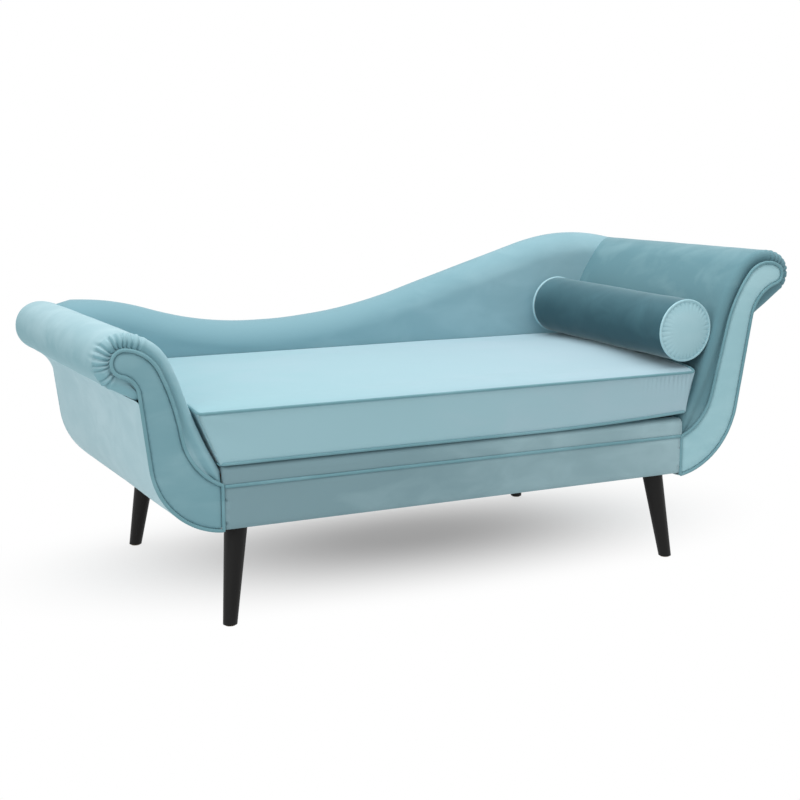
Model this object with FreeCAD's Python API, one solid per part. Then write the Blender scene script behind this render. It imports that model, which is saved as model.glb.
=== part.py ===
import FreeCAD, Part
import math
import os

# Chaise longue with two scrolled arms, a low one at the left and a high one at the right,
# a swept back, a loose seat cushion, a loose bolster and four splayed tapered legs.
# Millimetres. X runs along the seat, Y from the front to the back, Z up from the floor.
# The origin is on the floor under the middle of the part.

# Overall and frame sizes
RAIL_LENGTH = 1073.0
DEPTH = 684.0
RAIL_BOTTOM = 198.0
RAIL_TOP = 300.0
RAIL_THICKNESS = 22.0
RAIL_SETBACK = 12.0
PANEL_THICKNESS = 18.0
PANEL_LAP = 48.0
END_RAIL_THICKNESS = 28.0
STRETCHER_WIDTH = 40.0
STRETCHER_COUNT = 2
CORNER_BLOCK_SIZE = 48.0
CORNER_BLOCK_HEIGHT = 70.0
POST_WIDTH = 42.0
POST_COUNT = 4
BASE_RAIL_HEIGHT = 62.0

# Soft layers
GAP = 0.3
VELVET = 2.0
BOARD_THICKNESS = 4.5
HARDBOARD = 3.0
PIPING_RADIUS = 3.5
FLANGE_HALF = 0.8
FLANGE_DEPTH = 27.0
FACING_SETBACK = 2.5
COVER_DROP = 3.0
DECK_TOP = 318.0
RAIL_SEAM = 279.0
NOSING_RADIUS = 13.0
DECK_FABRIC = 1.5
SPRING_COUNT = 8
SPRING_WIRE_RADIUS = 1.9
SPRING_TURN_RADIUS = 20.0
SPRING_HALF_WIDTH = 30.0
CLIP_LENGTH = 18.0
CLIP_DEPTH = 12.0
CLIP_HEIGHT = 4.4

# Arm outlines: distances run outwards from the end of the rail, heights from the floor
LEFT_ARM = {
    "base_start": -55.0, "base_height": 270.0, "base_radius": 134.0, "base_turn": 79.5,
    "flank_length": 14.0, "shoulder_radius": 448.0, "shoulder_turn": 15.0,
    "crest_radius": 76.5, "crest_turn": 59.0, "scroll_radius": 24.0, "neck_radius": 40.0,
    "outer_start": -12.0, "outer_height": 194.0, "outer_radius": 150.0, "outer_turn": 83.0,
    "pad": 29.0, "pad_base_radius": 718.0, "tuck": 14.0,
}
RIGHT_ARM = {
    "base_start": -41.0, "base_height": 272.0, "base_radius": 125.5, "base_turn": 76.0,
    "flank_length": 156.0, "shoulder_radius": 290.0, "shoulder_turn": 25.0,
    "crest_radius": 67.0, "crest_turn": 78.5, "scroll_radius": 21.5, "neck_radius": 94.0,
    "outer_start": -25.0, "outer_height": 189.0, "outer_radius": 178.0, "outer_turn": 80.0,
    "pad": 27.0, "pad_base_radius": 900.0, "tuck": 4.0,
}
PAD_START = 308.0
PAD_SETBACK = 8.0
PAD_EDGE_RADIUS = 15.0
ARM_BAR = 15.0

# Back: its thickness, where it starts at the left, and its top line as arcs and a line
BACK_THICKNESS = 111.0
BACK_START = 120.0
BACK_START_HEIGHT = 581.0
BACK_HUMP_RADIUS, BACK_HUMP_TURN = 556.0, 18.0
BACK_FALL_RADIUS, BACK_FALL_TURN = 805.0, 17.4
BACK_RISE_RADIUS, BACK_RISE_TURN = 1280.0, 17.5
BACK_SLOPE_LENGTH = 361.0
BACK_CROWN_RADIUS, BACK_CROWN_TURN = 539.0, 29.9
BACK_CORNER_RADIUS = 65.0
BACK_FOOT_REACH = 100.0
BACK_KNEE_RIGHT = (150.0, 528.0)
BACK_FOOT_HEIGHT = 300.0
BACK_HEEL_HEIGHT = 215.0
BACK_FOAM_BOTTOM = 312.0

# Seat cushion
CUSHION_FRONT_HEIGHT = 105.0
CUSHION_REAR_HEIGHT = 128.0
CUSHION_CROWN = 20.0
CUSHION_END_CROWN = 17.0
CUSHION_EDGE_RADIUS = 90.0
CUSHION_EDGE_HEADING = 24.0
CUSHION_CROWN_POWER = 10
CUSHION_PULL = 3.0
CUSHION_ZIP_PULL = 6.0
CUSHION_LIFT = 12.0
CUSHION_LIFT_START = 0.62
CUSHION_TOP_REACH = 35.0
CUSHION_SETBACK = 1.0
CUSHION_PIPING_RADIUS = 3.0
CUSHION_STATIONS = (0.0, 0.03, 0.1, 0.25, 0.45, 0.62, 0.75, 0.88, 0.96, 1.0)
ZIP_LENGTH = 760.0
ZIP_WIDTH = 26.0
ZIP_THICKNESS = 1.2
ZIP_END = 12.0
SLIDER_LENGTH = 14.0
SLIDER_WIDTH = 10.0
SLIDER_THICKNESS = 1.8
SLIDER_PULL = 22.0

# Bolster
BOLSTER_RADIUS = 69.5
BOLSTER_COVER_RADIUS = 67.5
BOLSTER_LENGTH = 515.0
BOLSTER_FRONT = 22.0
BOLSTER_PITCH = 1.35
BOLSTER_PIPING_RADIUS = 3.0
BOLSTER_CAP_RISE = 11.0

# Legs and their hardware
LEG_INSET_X = 17.0
LEG_INSET_FRONT = 27.0
LEG_INSET_REAR = 21.0
LEG_SPLAY = 25.0
LEG_TOP_RADIUS = 23.0
LEG_FOOT_RADIUS = 14.0
GLIDE_HEIGHT = 2.5
GLIDE_RADIUS = 10.0
PLATE_SIZE = 70.0
PLATE_THICKNESS = 3.0
BOLT_RADIUS = 4.0
BOLT_IN_LEG = 32.0
BOLT_ABOVE_PLATE = 18.0
BOLT_CLEARANCE = 0.15
SCREW_SPACING = 54.0
SCREW_RADIUS = 2.0
SCREW_LENGTH = 20.0
SCREW_HEAD_RADIUS = 4.0
SCREW_HEAD_HEIGHT = 2.0
SCREW_CLEARANCE = 0.1

V = FreeCAD.Vector
Y_AXIS = V(0, 1, 0)
SMALL = 0.01


# Plane curves: a segment is a line or an arc in a plane of two coordinates
def line(p, q):
    return ("line", p, q)


def arc(centre, radius, start, end):
    return ("arc", centre, radius, start, end)


def on_circle(centre, radius, degrees):
    a = math.radians(degrees)
    return (centre[0] + radius * math.cos(a), centre[1] + radius * math.sin(a))


def ends(seg):
    if seg[0] == "line":
        return seg[1], seg[2]
    return on_circle(seg[1], seg[2], seg[3]), on_circle(seg[1], seg[2], seg[4])


def angle_of(p, centre):
    return math.degrees(math.atan2(p[1] - centre[1], p[0] - centre[0]))


def run_on(start, heading, length):
    a = math.radians(heading)
    return (start[0] + length * math.cos(a), start[1] + length * math.sin(a))


def turn_left(start, heading, radius, turn):
    centre = run_on(start, heading + 90, radius)
    return arc(centre, radius, heading - 90, heading - 90 + turn), heading + turn


def turn_right(start, heading, radius, turn):
    centre = run_on(start, heading - 90, radius)
    return arc(centre, radius, heading + 90, heading + 90 - turn), heading - turn


# Moves a segment to the left of its direction of travel
def shifted(seg, distance):
    if seg[0] == "line":
        (x0, z0), (x1, z1) = seg[1], seg[2]
        length = math.hypot(x1 - x0, z1 - z0)
        dx = -(z1 - z0) / length * distance
        dz = (x1 - x0) / length * distance
        return line((x0 + dx, z0 + dz), (x1 + dx, z1 + dz))
    centre, radius, start, end = seg[1:]
    side = -1 if end > start else 1
    return arc(centre, radius + side * distance, start, end)


def reversed_chain(chain):
    back = []
    for seg in reversed(chain):
        if seg[0] == "line":
            back.append(line(seg[2], seg[1]))
        else:
            back.append(arc(seg[1], seg[2], seg[4], seg[3]))
    return back


def edges_of(seg, place):
    if seg[0] == "line":
        return [Part.LineSegment(place(seg[1]), place(seg[2])).toShape()]
    centre, radius, start, end = seg[1:]
    pieces = max(1, math.ceil(abs(end - start) / 120.0))
    step = (end - start) / pieces
    out = []
    for k in range(pieces):
        a = start + k * step
        points = [place(on_circle(centre, radius, a + step * part)) for part in (0, 0.5, 1)]
        out.append(Part.Arc(*points).toShape())
    return out


# A closed face from segments in order; a gap between two neighbours is closed by a line
def face_of(chain, place):
    edges = []
    for k, seg in enumerate(chain):
        tail = ends(seg)[1]
        head = ends(chain[(k + 1) % len(chain)])[0]
        edges += edges_of(seg, place)
        if math.hypot(head[0] - tail[0], head[1] - tail[1]) > 1e-6:
            edges.append(Part.LineSegment(place(tail), place(head)).toShape())
    return Part.Face(Part.Wire(edges))


def polygon(points):
    return [line(points[k], points[(k + 1) % len(points)]) for k in range(len(points))]


# The solid of a face at y0, drawn out to y1
def prism(chain, place, y0, y1):
    face = face_of(chain, lambda p: place(p, y0))
    return face.extrude(V(0, y1 - y0, 0))


def box(x0, x1, y0, y1, z0, z1):
    return Part.makeBox(x1 - x0, y1 - y0, z1 - z0, V(x0, y0, z0))


def joined(shapes):
    if len(shapes) == 1:
        return shapes[0]
    return shapes[0].multiFuse(shapes[1:]).removeSplitter()


def group(shapes):
    solids = []
    for shape in shapes:
        solids += shape.Solids
    return Part.makeCompound(solids)


# The arm outline, from the foot of its inner edge over the scroll to the foot of its outer edge
def arm_curves(arm):
    base, heading = turn_left((arm["base_start"], arm["base_height"]), 0.0,
                              arm["base_radius"], arm["base_turn"])
    flank = line(ends(base)[1], run_on(ends(base)[1], heading, arm["flank_length"]))
    shoulder, heading = turn_right(flank[2], heading, arm["shoulder_radius"], arm["shoulder_turn"])
    crest, heading = turn_right(ends(shoulder)[1], heading, arm["crest_radius"], arm["crest_turn"])
    scroll_centre = run_on(ends(crest)[1], heading - 90, arm["scroll_radius"])
    outer_up, outer_heading = turn_left((arm["outer_start"], arm["outer_height"]), 0.0,
                                        arm["outer_radius"], arm["outer_turn"])
    # The neck touches the outer line and the scroll from outside
    foot = ends(outer_up)[1]
    reach = arm["scroll_radius"] + arm["neck_radius"]
    from_line = run_on(foot, outer_heading - 90, arm["neck_radius"])
    wx, wz = from_line[0] - scroll_centre[0], from_line[1] - scroll_centre[1]
    a = math.radians(outer_heading)
    along = wx * math.cos(a) + wz * math.sin(a)
    rise = -along - math.sqrt(along ** 2 - (wx ** 2 + wz ** 2 - reach ** 2))
    neck_centre = run_on(from_line, outer_heading, rise)
    neck_foot = run_on(foot, outer_heading, rise)
    touch = angle_of(neck_centre, scroll_centre)
    scroll_start = heading + 90
    scroll = arc(scroll_centre, arm["scroll_radius"], scroll_start, touch)
    neck = arc(neck_centre, arm["neck_radius"], touch + 180, outer_heading + 90)
    outer_line = line(neck_foot, foot)
    return {
        "base": base, "flank": flank, "shoulder": shoulder, "crest": crest, "scroll": scroll,
        "neck": neck, "outer_line": outer_line, "outer": reversed_chain([outer_up])[0],
        "heading": outer_heading, "neck_foot": neck_foot,
    }


def foot_angle(seg, distance):
    return -math.degrees(math.acos((distance - seg[1][0]) / seg[2]))


# The closed arm outline grown by a distance, with its straight edge at s_edge
def arm_outline(arm, grow, s_edge):
    c = arm_curves(arm)
    base = shifted(c["base"], grow)
    base = arc(base[1], base[2], foot_angle(base, s_edge), base[4])
    outer = shifted(c["outer"], grow)
    outer = arc(outer[1], outer[2], outer[3], foot_angle(outer, s_edge))
    middle = [shifted(c[k], grow) for k in ("flank", "shoulder", "crest", "scroll", "neck", "outer_line")]
    return [base] + middle + [outer]


# The arc of the pad's lower inner face: it starts over the rail's end and runs into the shoulder
def pad_base(arm, inset):
    c = arm_curves(arm)
    shoulder = c["shoulder"]
    pad_radius = arm["pad_base_radius"]
    target = shoulder[2] + arm["pad"]
    cx, cz = shoulder[1]
    distance = math.hypot(cx, cz - PAD_START)
    direction = math.degrees(math.atan2(cz - PAD_START, cx))
    cosine = (pad_radius ** 2 + distance ** 2 - (pad_radius + target) ** 2) / (2 * pad_radius * distance)
    centre = on_circle((0.0, PAD_START), pad_radius, direction + math.degrees(math.acos(cosine)))
    radius = pad_radius + inset
    start = -math.degrees(math.acos(-centre[0] / radius))
    end = angle_of(shoulder[1], centre)
    return arc(centre, radius, start, end)


# The closed section of an arm's pad with its cover, less an inset, before the arm is cut out of it
def pad_outline(arm, inset):
    c = arm_curves(arm)
    thickness = arm["pad"] - inset
    lower = pad_base(arm, inset)
    shoulder = shifted(c["shoulder"], thickness)
    shoulder = arc(shoulder[1], shoulder[2], lower[4] + 180, shoulder[4])
    crest = shifted(c["crest"], thickness)
    scroll = shifted(c["scroll"], thickness)
    down = c["heading"] + 180
    tuck = run_on(c["neck_foot"], down, arm["tuck"])
    tuck_out = run_on(tuck, down + 90, FLANGE_HALF + GAP + VELVET - inset)
    tuck_in = run_on(tuck, down + 90, -2.0)
    # The underside leaves the roll in a straight line that touches it
    away = math.hypot(tuck_out[0] - scroll[1][0], tuck_out[1] - scroll[1][1])
    leave = angle_of(tuck_out, scroll[1]) + math.degrees(math.acos(scroll[2] / away))
    scroll = arc(scroll[1], scroll[2], scroll[3], leave)
    neck = c["neck"]
    neck_middle = on_circle(neck[1], neck[2] + 6.0, (neck[3] + neck[4]) / 2)
    inner = [shifted(c[k], -1.0) for k in ("base", "flank", "shoulder", "crest")]
    inner[0] = arc(inner[0][1], inner[0][2], foot_angle(inner[0], 0.0), inner[0][4])
    back = reversed_chain(inner)
    return [
        lower, shoulder, crest, scroll,
        line(ends(scroll)[1], tuck_out), line(tuck_out, tuck_in), line(tuck_in, neck_middle),
        line(neck_middle, c["scroll"][1]), line(c["scroll"][1], ends(back[0])[0]),
    ] + back


LEFT_REACH = arm_curves(LEFT_ARM)["scroll"][1][0] + LEFT_ARM["scroll_radius"] + LEFT_ARM["pad"]
RIGHT_REACH = arm_curves(RIGHT_ARM)["scroll"][1][0] + RIGHT_ARM["scroll_radius"] + RIGHT_ARM["pad"]
LENGTH = LEFT_REACH + RAIL_LENGTH + RIGHT_REACH

RAIL_LEFT = -LENGTH / 2 + LEFT_REACH
RAIL_RIGHT = RAIL_LEFT + RAIL_LENGTH
FRONT = -DEPTH / 2
REAR = DEPTH / 2


def left_place(p, y):
    return V(RAIL_LEFT - p[0], y, p[1])


def right_place(p, y):
    return V(RAIL_RIGHT + p[0], y, p[1])


# The back is drawn in X and Z
def back_place(p, y):
    return V(p[0], y, p[1])


ARMS = {"left": (LEFT_ARM, left_place), "right": (RIGHT_ARM, right_place)}

# Layers from the front to the back
RAIL_FRONT = FRONT + RAIL_SETBACK
RAIL_BACK = RAIL_FRONT + RAIL_THICKNESS
FRONT_PANEL_BACK = RAIL_BACK + PANEL_THICKNESS
REAR_FACE = REAR - VELVET
REAR_BOARD = REAR_FACE - HARDBOARD
BASE_RAIL_FRONT = REAR_BOARD - RAIL_THICKNESS
REAR_PANEL_FRONT = BASE_RAIL_FRONT - PANEL_THICKNESS
BACK_PANEL_FRONT = REAR_PANEL_FRONT - PANEL_THICKNESS
REAR_RAIL_FRONT = BACK_PANEL_FRONT - RAIL_THICKNESS
BACK_FACE = REAR - BACK_THICKNESS
BACK_MIDDLE = REAR - BACK_THICKNESS / 2
ROUND = BACK_THICKNESS / 2


# The back's top line, left to right, with a rounded corner at each end
def back_chain(inset):
    top = (RAIL_LEFT - BACK_START, BACK_START_HEIGHT)
    corner_centre = (top[0], top[1] - BACK_CORNER_RADIUS)
    chain = [arc(corner_centre, BACK_CORNER_RADIUS, 180.0, 90.0)]
    seg, heading = turn_right(top, 0.0, BACK_HUMP_RADIUS, BACK_HUMP_TURN)
    chain.append(seg)
    seg, heading = turn_left(ends(seg)[1], heading, BACK_FALL_RADIUS, BACK_FALL_TURN)
    chain.append(seg)
    seg, heading = turn_left(ends(seg)[1], heading, BACK_RISE_RADIUS, BACK_RISE_TURN)
    chain.append(seg)
    seg = line(ends(seg)[1], run_on(ends(seg)[1], heading, BACK_SLOPE_LENGTH))
    chain.append(seg)
    seg, heading = turn_right(seg[2], heading, BACK_CROWN_RADIUS, BACK_CROWN_TURN)
    chain.append(seg)
    seg, heading = turn_right(ends(seg)[1], heading, BACK_CORNER_RADIUS, 90.0 + heading)
    chain.append(seg)
    return [shifted(s, -inset) for s in chain]


# The flat part of the back under its round top: inset from the round's centre line
def back_slab(inset, bottom):
    top = back_chain(ROUND + inset)
    left, right = ends(top[0])[0], ends(top[-1])[1]
    knee = (RAIL_RIGHT + BACK_KNEE_RIGHT[0] - inset, BACK_KNEE_RIGHT[1])
    foot_right = (RAIL_RIGHT + BACK_FOOT_REACH - inset, bottom)
    foot_left = (RAIL_LEFT - BACK_FOOT_REACH + inset, bottom)
    sides = [line(right, knee), line(knee, foot_right), line(foot_right, foot_left), line(foot_left, left)]
    return top + sides


# A half round over the back's centre line, between two radii, or solid if the inner one is 0
def back_round(outer, inner):
    pieces = []
    for seg in back_chain(ROUND):
        start = ends(seg)[0]
        if seg[0] == "line":
            heading = angle_of(seg[2], seg[1])
        else:
            heading = seg[3] + (90 if seg[4] > seg[3] else -90)
        up = run_on((0, 0), heading + 90, 1.0)

        def at(y, height):
            return V(start[0] + up[0] * height, BACK_MIDDLE + y, start[1] + up[1] * height)

        h = math.sqrt(0.5)
        edges = [
            Part.Arc(at(-outer, 0), at(-outer * h, outer * h), at(0, outer)).toShape(),
            Part.Arc(at(0, outer), at(outer * h, outer * h), at(outer, 0)).toShape(),
        ]
        if inner:
            edges += [
                Part.LineSegment(at(outer, 0), at(inner, 0)).toShape(),
                Part.Arc(at(inner, 0), at(inner * h, inner * h), at(0, inner)).toShape(),
                Part.Arc(at(0, inner), at(-inner * h, inner * h), at(-inner, 0)).toShape(),
                Part.LineSegment(at(-inner, 0), at(-outer, 0)).toShape(),
            ]
        else:
            edges.append(Part.LineSegment(at(outer, 0), at(-outer, 0)).toShape())
        face = Part.Face(Part.Wire(edges))
        if seg[0] == "line":
            pieces.append(face.extrude(V(seg[2][0] - seg[1][0], 0, seg[2][1] - seg[1][1])))
        else:
            centre = V(seg[1][0], BACK_MIDDLE, seg[1][1])
            pieces.append(face.revolve(centre, Y_AXIS, seg[3] - seg[4]))
    return joined(pieces)


# The height of the back's centre line over a place along the seat
def centre_line_height(x):
    for seg in back_chain(ROUND):
        p, q = ends(seg)
        if p[0] <= x <= q[0]:
            if seg[0] == "line":
                return p[1] + (q[1] - p[1]) * (x - p[0]) / (q[0] - p[0])
            side = 1 if seg[4] < seg[3] else -1
            return seg[1][1] + side * math.sqrt(seg[2] ** 2 - (x - seg[1][0]) ** 2)
    return BACK_START_HEIGHT - BACK_CORNER_RADIUS


# A round cord along a chain, with a ball at each end
def cord(chain, place, y, radius):
    pieces = []
    for seg in chain:
        start, end = ends(seg)
        a, b = place(start, y), place(end, y)
        if seg[0] == "line":
            pieces.append(Part.makeCylinder(radius, (b - a).Length, a, b - a))
            continue
        centre = place(seg[1], y)
        spoke = a - centre
        tangent = Y_AXIS.cross(spoke)
        ring = Part.Face(Part.Wire(Part.makeCircle(radius, a, tangent)))
        across = b - centre
        turned = abs(seg[4] - seg[3])
        sense = 1 if spoke.cross(across).dot(Y_AXIS) > 0 else -1
        if turned > 180:
            sense = -sense
        pieces.append(ring.revolve(centre, Y_AXIS * sense, turned))
    for p in (ends(chain[0])[0], ends(chain[-1])[1]):
        pieces.append(Part.makeSphere(radius, place(p, y)))
    return pieces


def leg_corners():
    corners = []
    rows = (("front", LEG_INSET_FRONT, 1, FRONT), ("rear", LEG_INSET_REAR, -1, REAR))
    for name_y, inset, sign_y, edge in rows:
        for name_x, sign_x, end in (("left", 1, RAIL_LEFT), ("right", -1, RAIL_RIGHT)):
            foot = V(end + sign_x * LEG_INSET_X, edge + sign_y * inset, GLIDE_HEIGHT)
            top = V(foot.x + sign_x * LEG_SPLAY, foot.y + sign_y * LEG_SPLAY, RAIL_BOTTOM - PLATE_THICKNESS)
            corners.append((name_y + "_" + name_x, foot, top))
    return corners


def screw_places(top):
    half = SCREW_SPACING / 2
    return [V(top.x + i * half, top.y + j * half, RAIL_BOTTOM) for i in (-1, 1) for j in (-1, 1)]


# The bolt follows the leg's own slope
def bolt(foot, top, radius, below, above):
    direction = top - foot
    direction.normalize()
    return Part.makeCylinder(radius, below + above, top - direction * below, direction)


def drilled(shape):
    for name, foot, top in leg_corners():
        hole = bolt(foot, top, BOLT_RADIUS + BOLT_CLEARANCE, 0.0, BOLT_ABOVE_PLATE + PLATE_THICKNESS + GAP)
        if shape.BoundBox.intersect(hole.BoundBox):
            shape = shape.cut(hole)
        for place in screw_places(top):
            hole = Part.makeCylinder(SCREW_RADIUS + SCREW_CLEARANCE, SCREW_LENGTH + GAP, place)
            if shape.BoundBox.intersect(hole.BoundBox):
                shape = shape.cut(hole)
    return shape


def make_frame(parts):
    end_gap = FLANGE_HALF + GAP
    rail = box(RAIL_LEFT + end_gap, RAIL_RIGHT - end_gap, RAIL_FRONT, RAIL_BACK, RAIL_BOTTOM, RAIL_TOP)
    parts["front_rail"] = drilled(rail)
    rail = box(RAIL_LEFT, RAIL_RIGHT, REAR_RAIL_FRONT, BACK_PANEL_FRONT, RAIL_BOTTOM, RAIL_TOP)
    parts["rear_seat_rail"] = drilled(rail)
    base_top = RAIL_BOTTOM + BASE_RAIL_HEIGHT
    rail = box(RAIL_LEFT, RAIL_RIGHT, BASE_RAIL_FRONT, REAR_BOARD, RAIL_BOTTOM, base_top)
    parts["back_base_rail"] = drilled(rail)

    end_rails = []
    blocks = []
    for end, sign in ((RAIL_LEFT, 1), (RAIL_RIGHT, -1)):
        near, far = end + sign * PANEL_LAP, end + sign * (PANEL_LAP + END_RAIL_THICKNESS)
        end_rails.append(box(min(near, far), max(near, far), RAIL_BACK, REAR_RAIL_FRONT,
                             RAIL_BOTTOM, RAIL_TOP - PLATE_THICKNESS))
        inner = end + sign * CORNER_BLOCK_SIZE
        for y0 in (FRONT_PANEL_BACK, REAR_RAIL_FRONT - CORNER_BLOCK_SIZE):
            blocks.append(box(min(end, inner), max(end, inner), y0, y0 + CORNER_BLOCK_SIZE,
                              RAIL_BOTTOM, RAIL_BOTTOM + CORNER_BLOCK_HEIGHT))
    parts["end_rails"] = group([drilled(r) for r in end_rails])
    parts["corner_blocks"] = group([drilled(b) for b in blocks])

    stretchers = []
    for k in range(STRETCHER_COUNT):
        x = RAIL_LEFT + RAIL_LENGTH * (k + 1) / (STRETCHER_COUNT + 1)
        stretchers.append(box(x - STRETCHER_WIDTH / 2, x + STRETCHER_WIDTH / 2, RAIL_BACK, REAR_RAIL_FRONT,
                              RAIL_BOTTOM, RAIL_BOTTOM + STRETCHER_WIDTH))
    parts["seat_stretchers"] = group(stretchers)

    # The plywood back: the outline of the back, standing on a narrower heel between the arms
    slab = back_slab(GAP, BACK_FOOT_HEIGHT)
    heel = polygon([
        (RAIL_LEFT, RAIL_BOTTOM), (RAIL_RIGHT, RAIL_BOTTOM), (RAIL_RIGHT, BACK_HEEL_HEIGHT),
        (RAIL_RIGHT + BACK_FOOT_REACH - GAP, BACK_FOOT_HEIGHT), (RAIL_RIGHT, BACK_FOOT_HEIGHT + 10.0),
        (RAIL_LEFT, BACK_FOOT_HEIGHT + 10.0), (RAIL_LEFT - BACK_FOOT_REACH + GAP, BACK_FOOT_HEIGHT),
        (RAIL_LEFT, BACK_HEEL_HEIGHT),
    ])
    panel = joined([prism(slab, back_place, BACK_PANEL_FRONT, REAR_PANEL_FRONT),
                    prism(heel, back_place, BACK_PANEL_FRONT, REAR_PANEL_FRONT)])
    parts["back_panel"] = drilled(panel)

    posts = []
    for k in range(POST_COUNT):
        x = RAIL_LEFT + RAIL_LENGTH * (k + 0.5) / POST_COUNT
        top = min(centre_line_height(x - POST_WIDTH / 2), centre_line_height(x + POST_WIDTH / 2)) - 1.0
        posts.append(box(x - POST_WIDTH / 2, x + POST_WIDTH / 2, REAR_PANEL_FRONT, REAR_BOARD,
                         RAIL_BOTTOM + BASE_RAIL_HEIGHT, top))
    parts["back_posts"] = group(posts)


def tuck_height(arm):
    c = arm_curves(arm)
    return run_on(c["neck_foot"], c["heading"] + 180, arm["tuck"])[1]


def make_arm(parts, side):
    arm, place = ARMS[side]
    c = arm_curves(arm)
    big = 2000.0
    inset = FLANGE_HALF - BOARD_THICKNESS
    pad_front = FRONT + PAD_SETBACK
    pad_back = BACK_FACE - GAP
    roll_floor = tuck_height(arm)

    # Plywood arm panels, the front one the full outline, the rear one up to the roll
    lap_top = arm["base_height"] - 4.0
    lap = polygon([(-PANEL_LAP, RAIL_BOTTOM), (0.0, RAIL_BOTTOM), (0.0, lap_top), (-PANEL_LAP, lap_top)])
    for end, y0 in (("front", RAIL_BACK), ("rear", REAR_PANEL_FRONT)):
        y1 = y0 + PANEL_THICKNESS
        panel = joined([prism(arm_outline(arm, inset, 0.0), place, y0, y1), prism(lap, place, y0, y1)])
        if end == "rear":
            roof = Part.makeBox(big, big, big, V(-big / 2, -big / 2, roll_floor - GAP))
            panel = panel.cut(roof)
        parts[side + "_" + end + "_arm_panel"] = drilled(panel)

    # Two bars along the arm: one in the scroll, one low down, behind the outside board
    scroll = c["scroll"][1]
    low = ends(c["outer_line"])[1]
    half = ARM_BAR / 2
    bars = []
    upper_bar = (scroll[0], scroll[1] - 4.0, pad_back)
    lower_bar = (low[0] - 14.0, low[1] + 40.0, REAR_PANEL_FRONT)
    for s, z, y1 in (upper_bar, lower_bar):
        one, other = place((s - half, z - half), FRONT_PANEL_BACK), place((s + half, z + half), y1)
        bars.append(box(min(one.x, other.x), max(one.x, other.x), FRONT_PANEL_BACK, y1, z - half, z + half))
    parts[side + "_arm_bars"] = group(bars)

    # Boards bent over the panels: inside from the seat to the scroll, outside from the neck down
    inner = [shifted(c[k], FLANGE_HALF) for k in ("base", "flank", "shoulder", "crest")]
    inner[0] = arc(inner[0][1], inner[0][2], foot_angle(inner[0], 0.5), inner[0][4])
    under = [shifted(c[k], inset) for k in ("base", "flank", "shoulder", "crest")]
    under[0] = arc(under[0][1], under[0][2], foot_angle(under[0], 0.5), under[0][4])
    liner = inner + reversed_chain(under)
    parts[side + "_inside_arm_board"] = prism(liner, place, RAIL_BACK + GAP, pad_back)

    outside = [shifted(c[k], FLANGE_HALF) for k in ("outer_line", "outer")]
    outside[1] = arc(outside[1][1], outside[1][2], outside[1][3], foot_angle(outside[1], 0.5))
    within = [shifted(c[k], inset) for k in ("outer_line", "outer")]
    within[1] = arc(within[1][1], within[1][2], within[1][3], foot_angle(within[1], 0.5))
    board = prism(outside + reversed_chain(within), place, RAIL_BACK + GAP, REAR_BOARD - GAP)
    roof = Part.makeBox(big, big, big, V(-big / 2, -big / 2, roll_floor - GAP))
    parts[side + "_outside_arm_board"] = board.cut(roof)

    # Inside pad and its cover, with a rounded front edge
    arm_core = prism(arm_outline(arm, FLANGE_HALF + GAP, 0.0), place, FRONT - 20.0, REAR + 20.0)
    cover_out = rounded_pad(arm, place, 0.0, pad_front, pad_back, PAD_EDGE_RADIUS)
    cover_in = rounded_pad(arm, place, VELVET, pad_front + VELVET, pad_back + 10.0, PAD_EDGE_RADIUS - VELVET)
    under = VELVET + GAP
    foam = rounded_pad(arm, place, under, pad_front + under, pad_back, PAD_EDGE_RADIUS - under)
    parts[side + "_inside_arm_cover"] = cover_out.cut(cover_in).cut(arm_core)
    parts[side + "_inside_arm_foam"] = foam.cut(arm_core)

    # Outside cover from under the roll down to the rail
    skin_in, skin_out = FLANGE_HALF + GAP, FLANGE_HALF + GAP + VELVET
    outer = [shifted(c[k], skin_out) for k in ("outer_line", "outer")]
    outer[1] = arc(outer[1][1], outer[1][2], outer[1][3], foot_angle(outer[1], 0.3))
    inner = [shifted(c[k], skin_in) for k in ("outer_line", "outer")]
    inner[1] = arc(inner[1][1], inner[1][2], inner[1][3], foot_angle(inner[1], 0.3))
    skin = prism(outer + reversed_chain(inner), place, pad_front, REAR_FACE - GAP)
    full_pad = prism(pad_outline(arm, -GAP), place, FRONT - 20.0, REAR + 20.0)
    parts[side + "_outside_arm_cover"] = skin.cut(full_pad).cut(roof)

    # The stuffed end of the roll, beside the back
    around = arm_outline(arm, FLANGE_HALF + GAP + 0.1, 0.0)
    section = joined([prism(pad_outline(arm, 0.0), place, BACK_FACE, REAR_BOARD - GAP),
                      prism(around, place, BACK_FACE, REAR_BOARD - GAP)])
    floor = Part.makeBox(big, big, big, V(-big / 2, -big / 2, roll_floor - big))
    section = section.cut(floor)
    parts[side + "_roll_end"] = largest(section.cut(back_space()))


def largest(shape):
    return max(shape.Solids, key=lambda s: s.Volume)


# The pad section as a solid, its outer front edges rounded
def rounded_pad(arm, place, inset, y0, y1, radius):
    solid = prism(pad_outline(arm, inset), place, y0, y1)
    lower = pad_base(arm, inset)
    chosen = []
    pad = arm["pad"] - inset
    c = arm_curves(arm)
    circles = [(lower[1], lower[2])] + [(c[k][1], c[k][2] + pad) for k in ("shoulder", "crest", "scroll")]
    for edge in solid.Edges:
        if abs(edge.BoundBox.YMax - y0) > SMALL or not hasattr(edge.Curve, "Radius"):
            continue
        for middle, r in circles:
            m = place(middle, y0)
            if abs(edge.Curve.Radius - r) < SMALL and (edge.Curve.Center - m).Length < SMALL:
                chosen.append(edge)
    return solid.makeFillet(radius, chosen)


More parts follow.
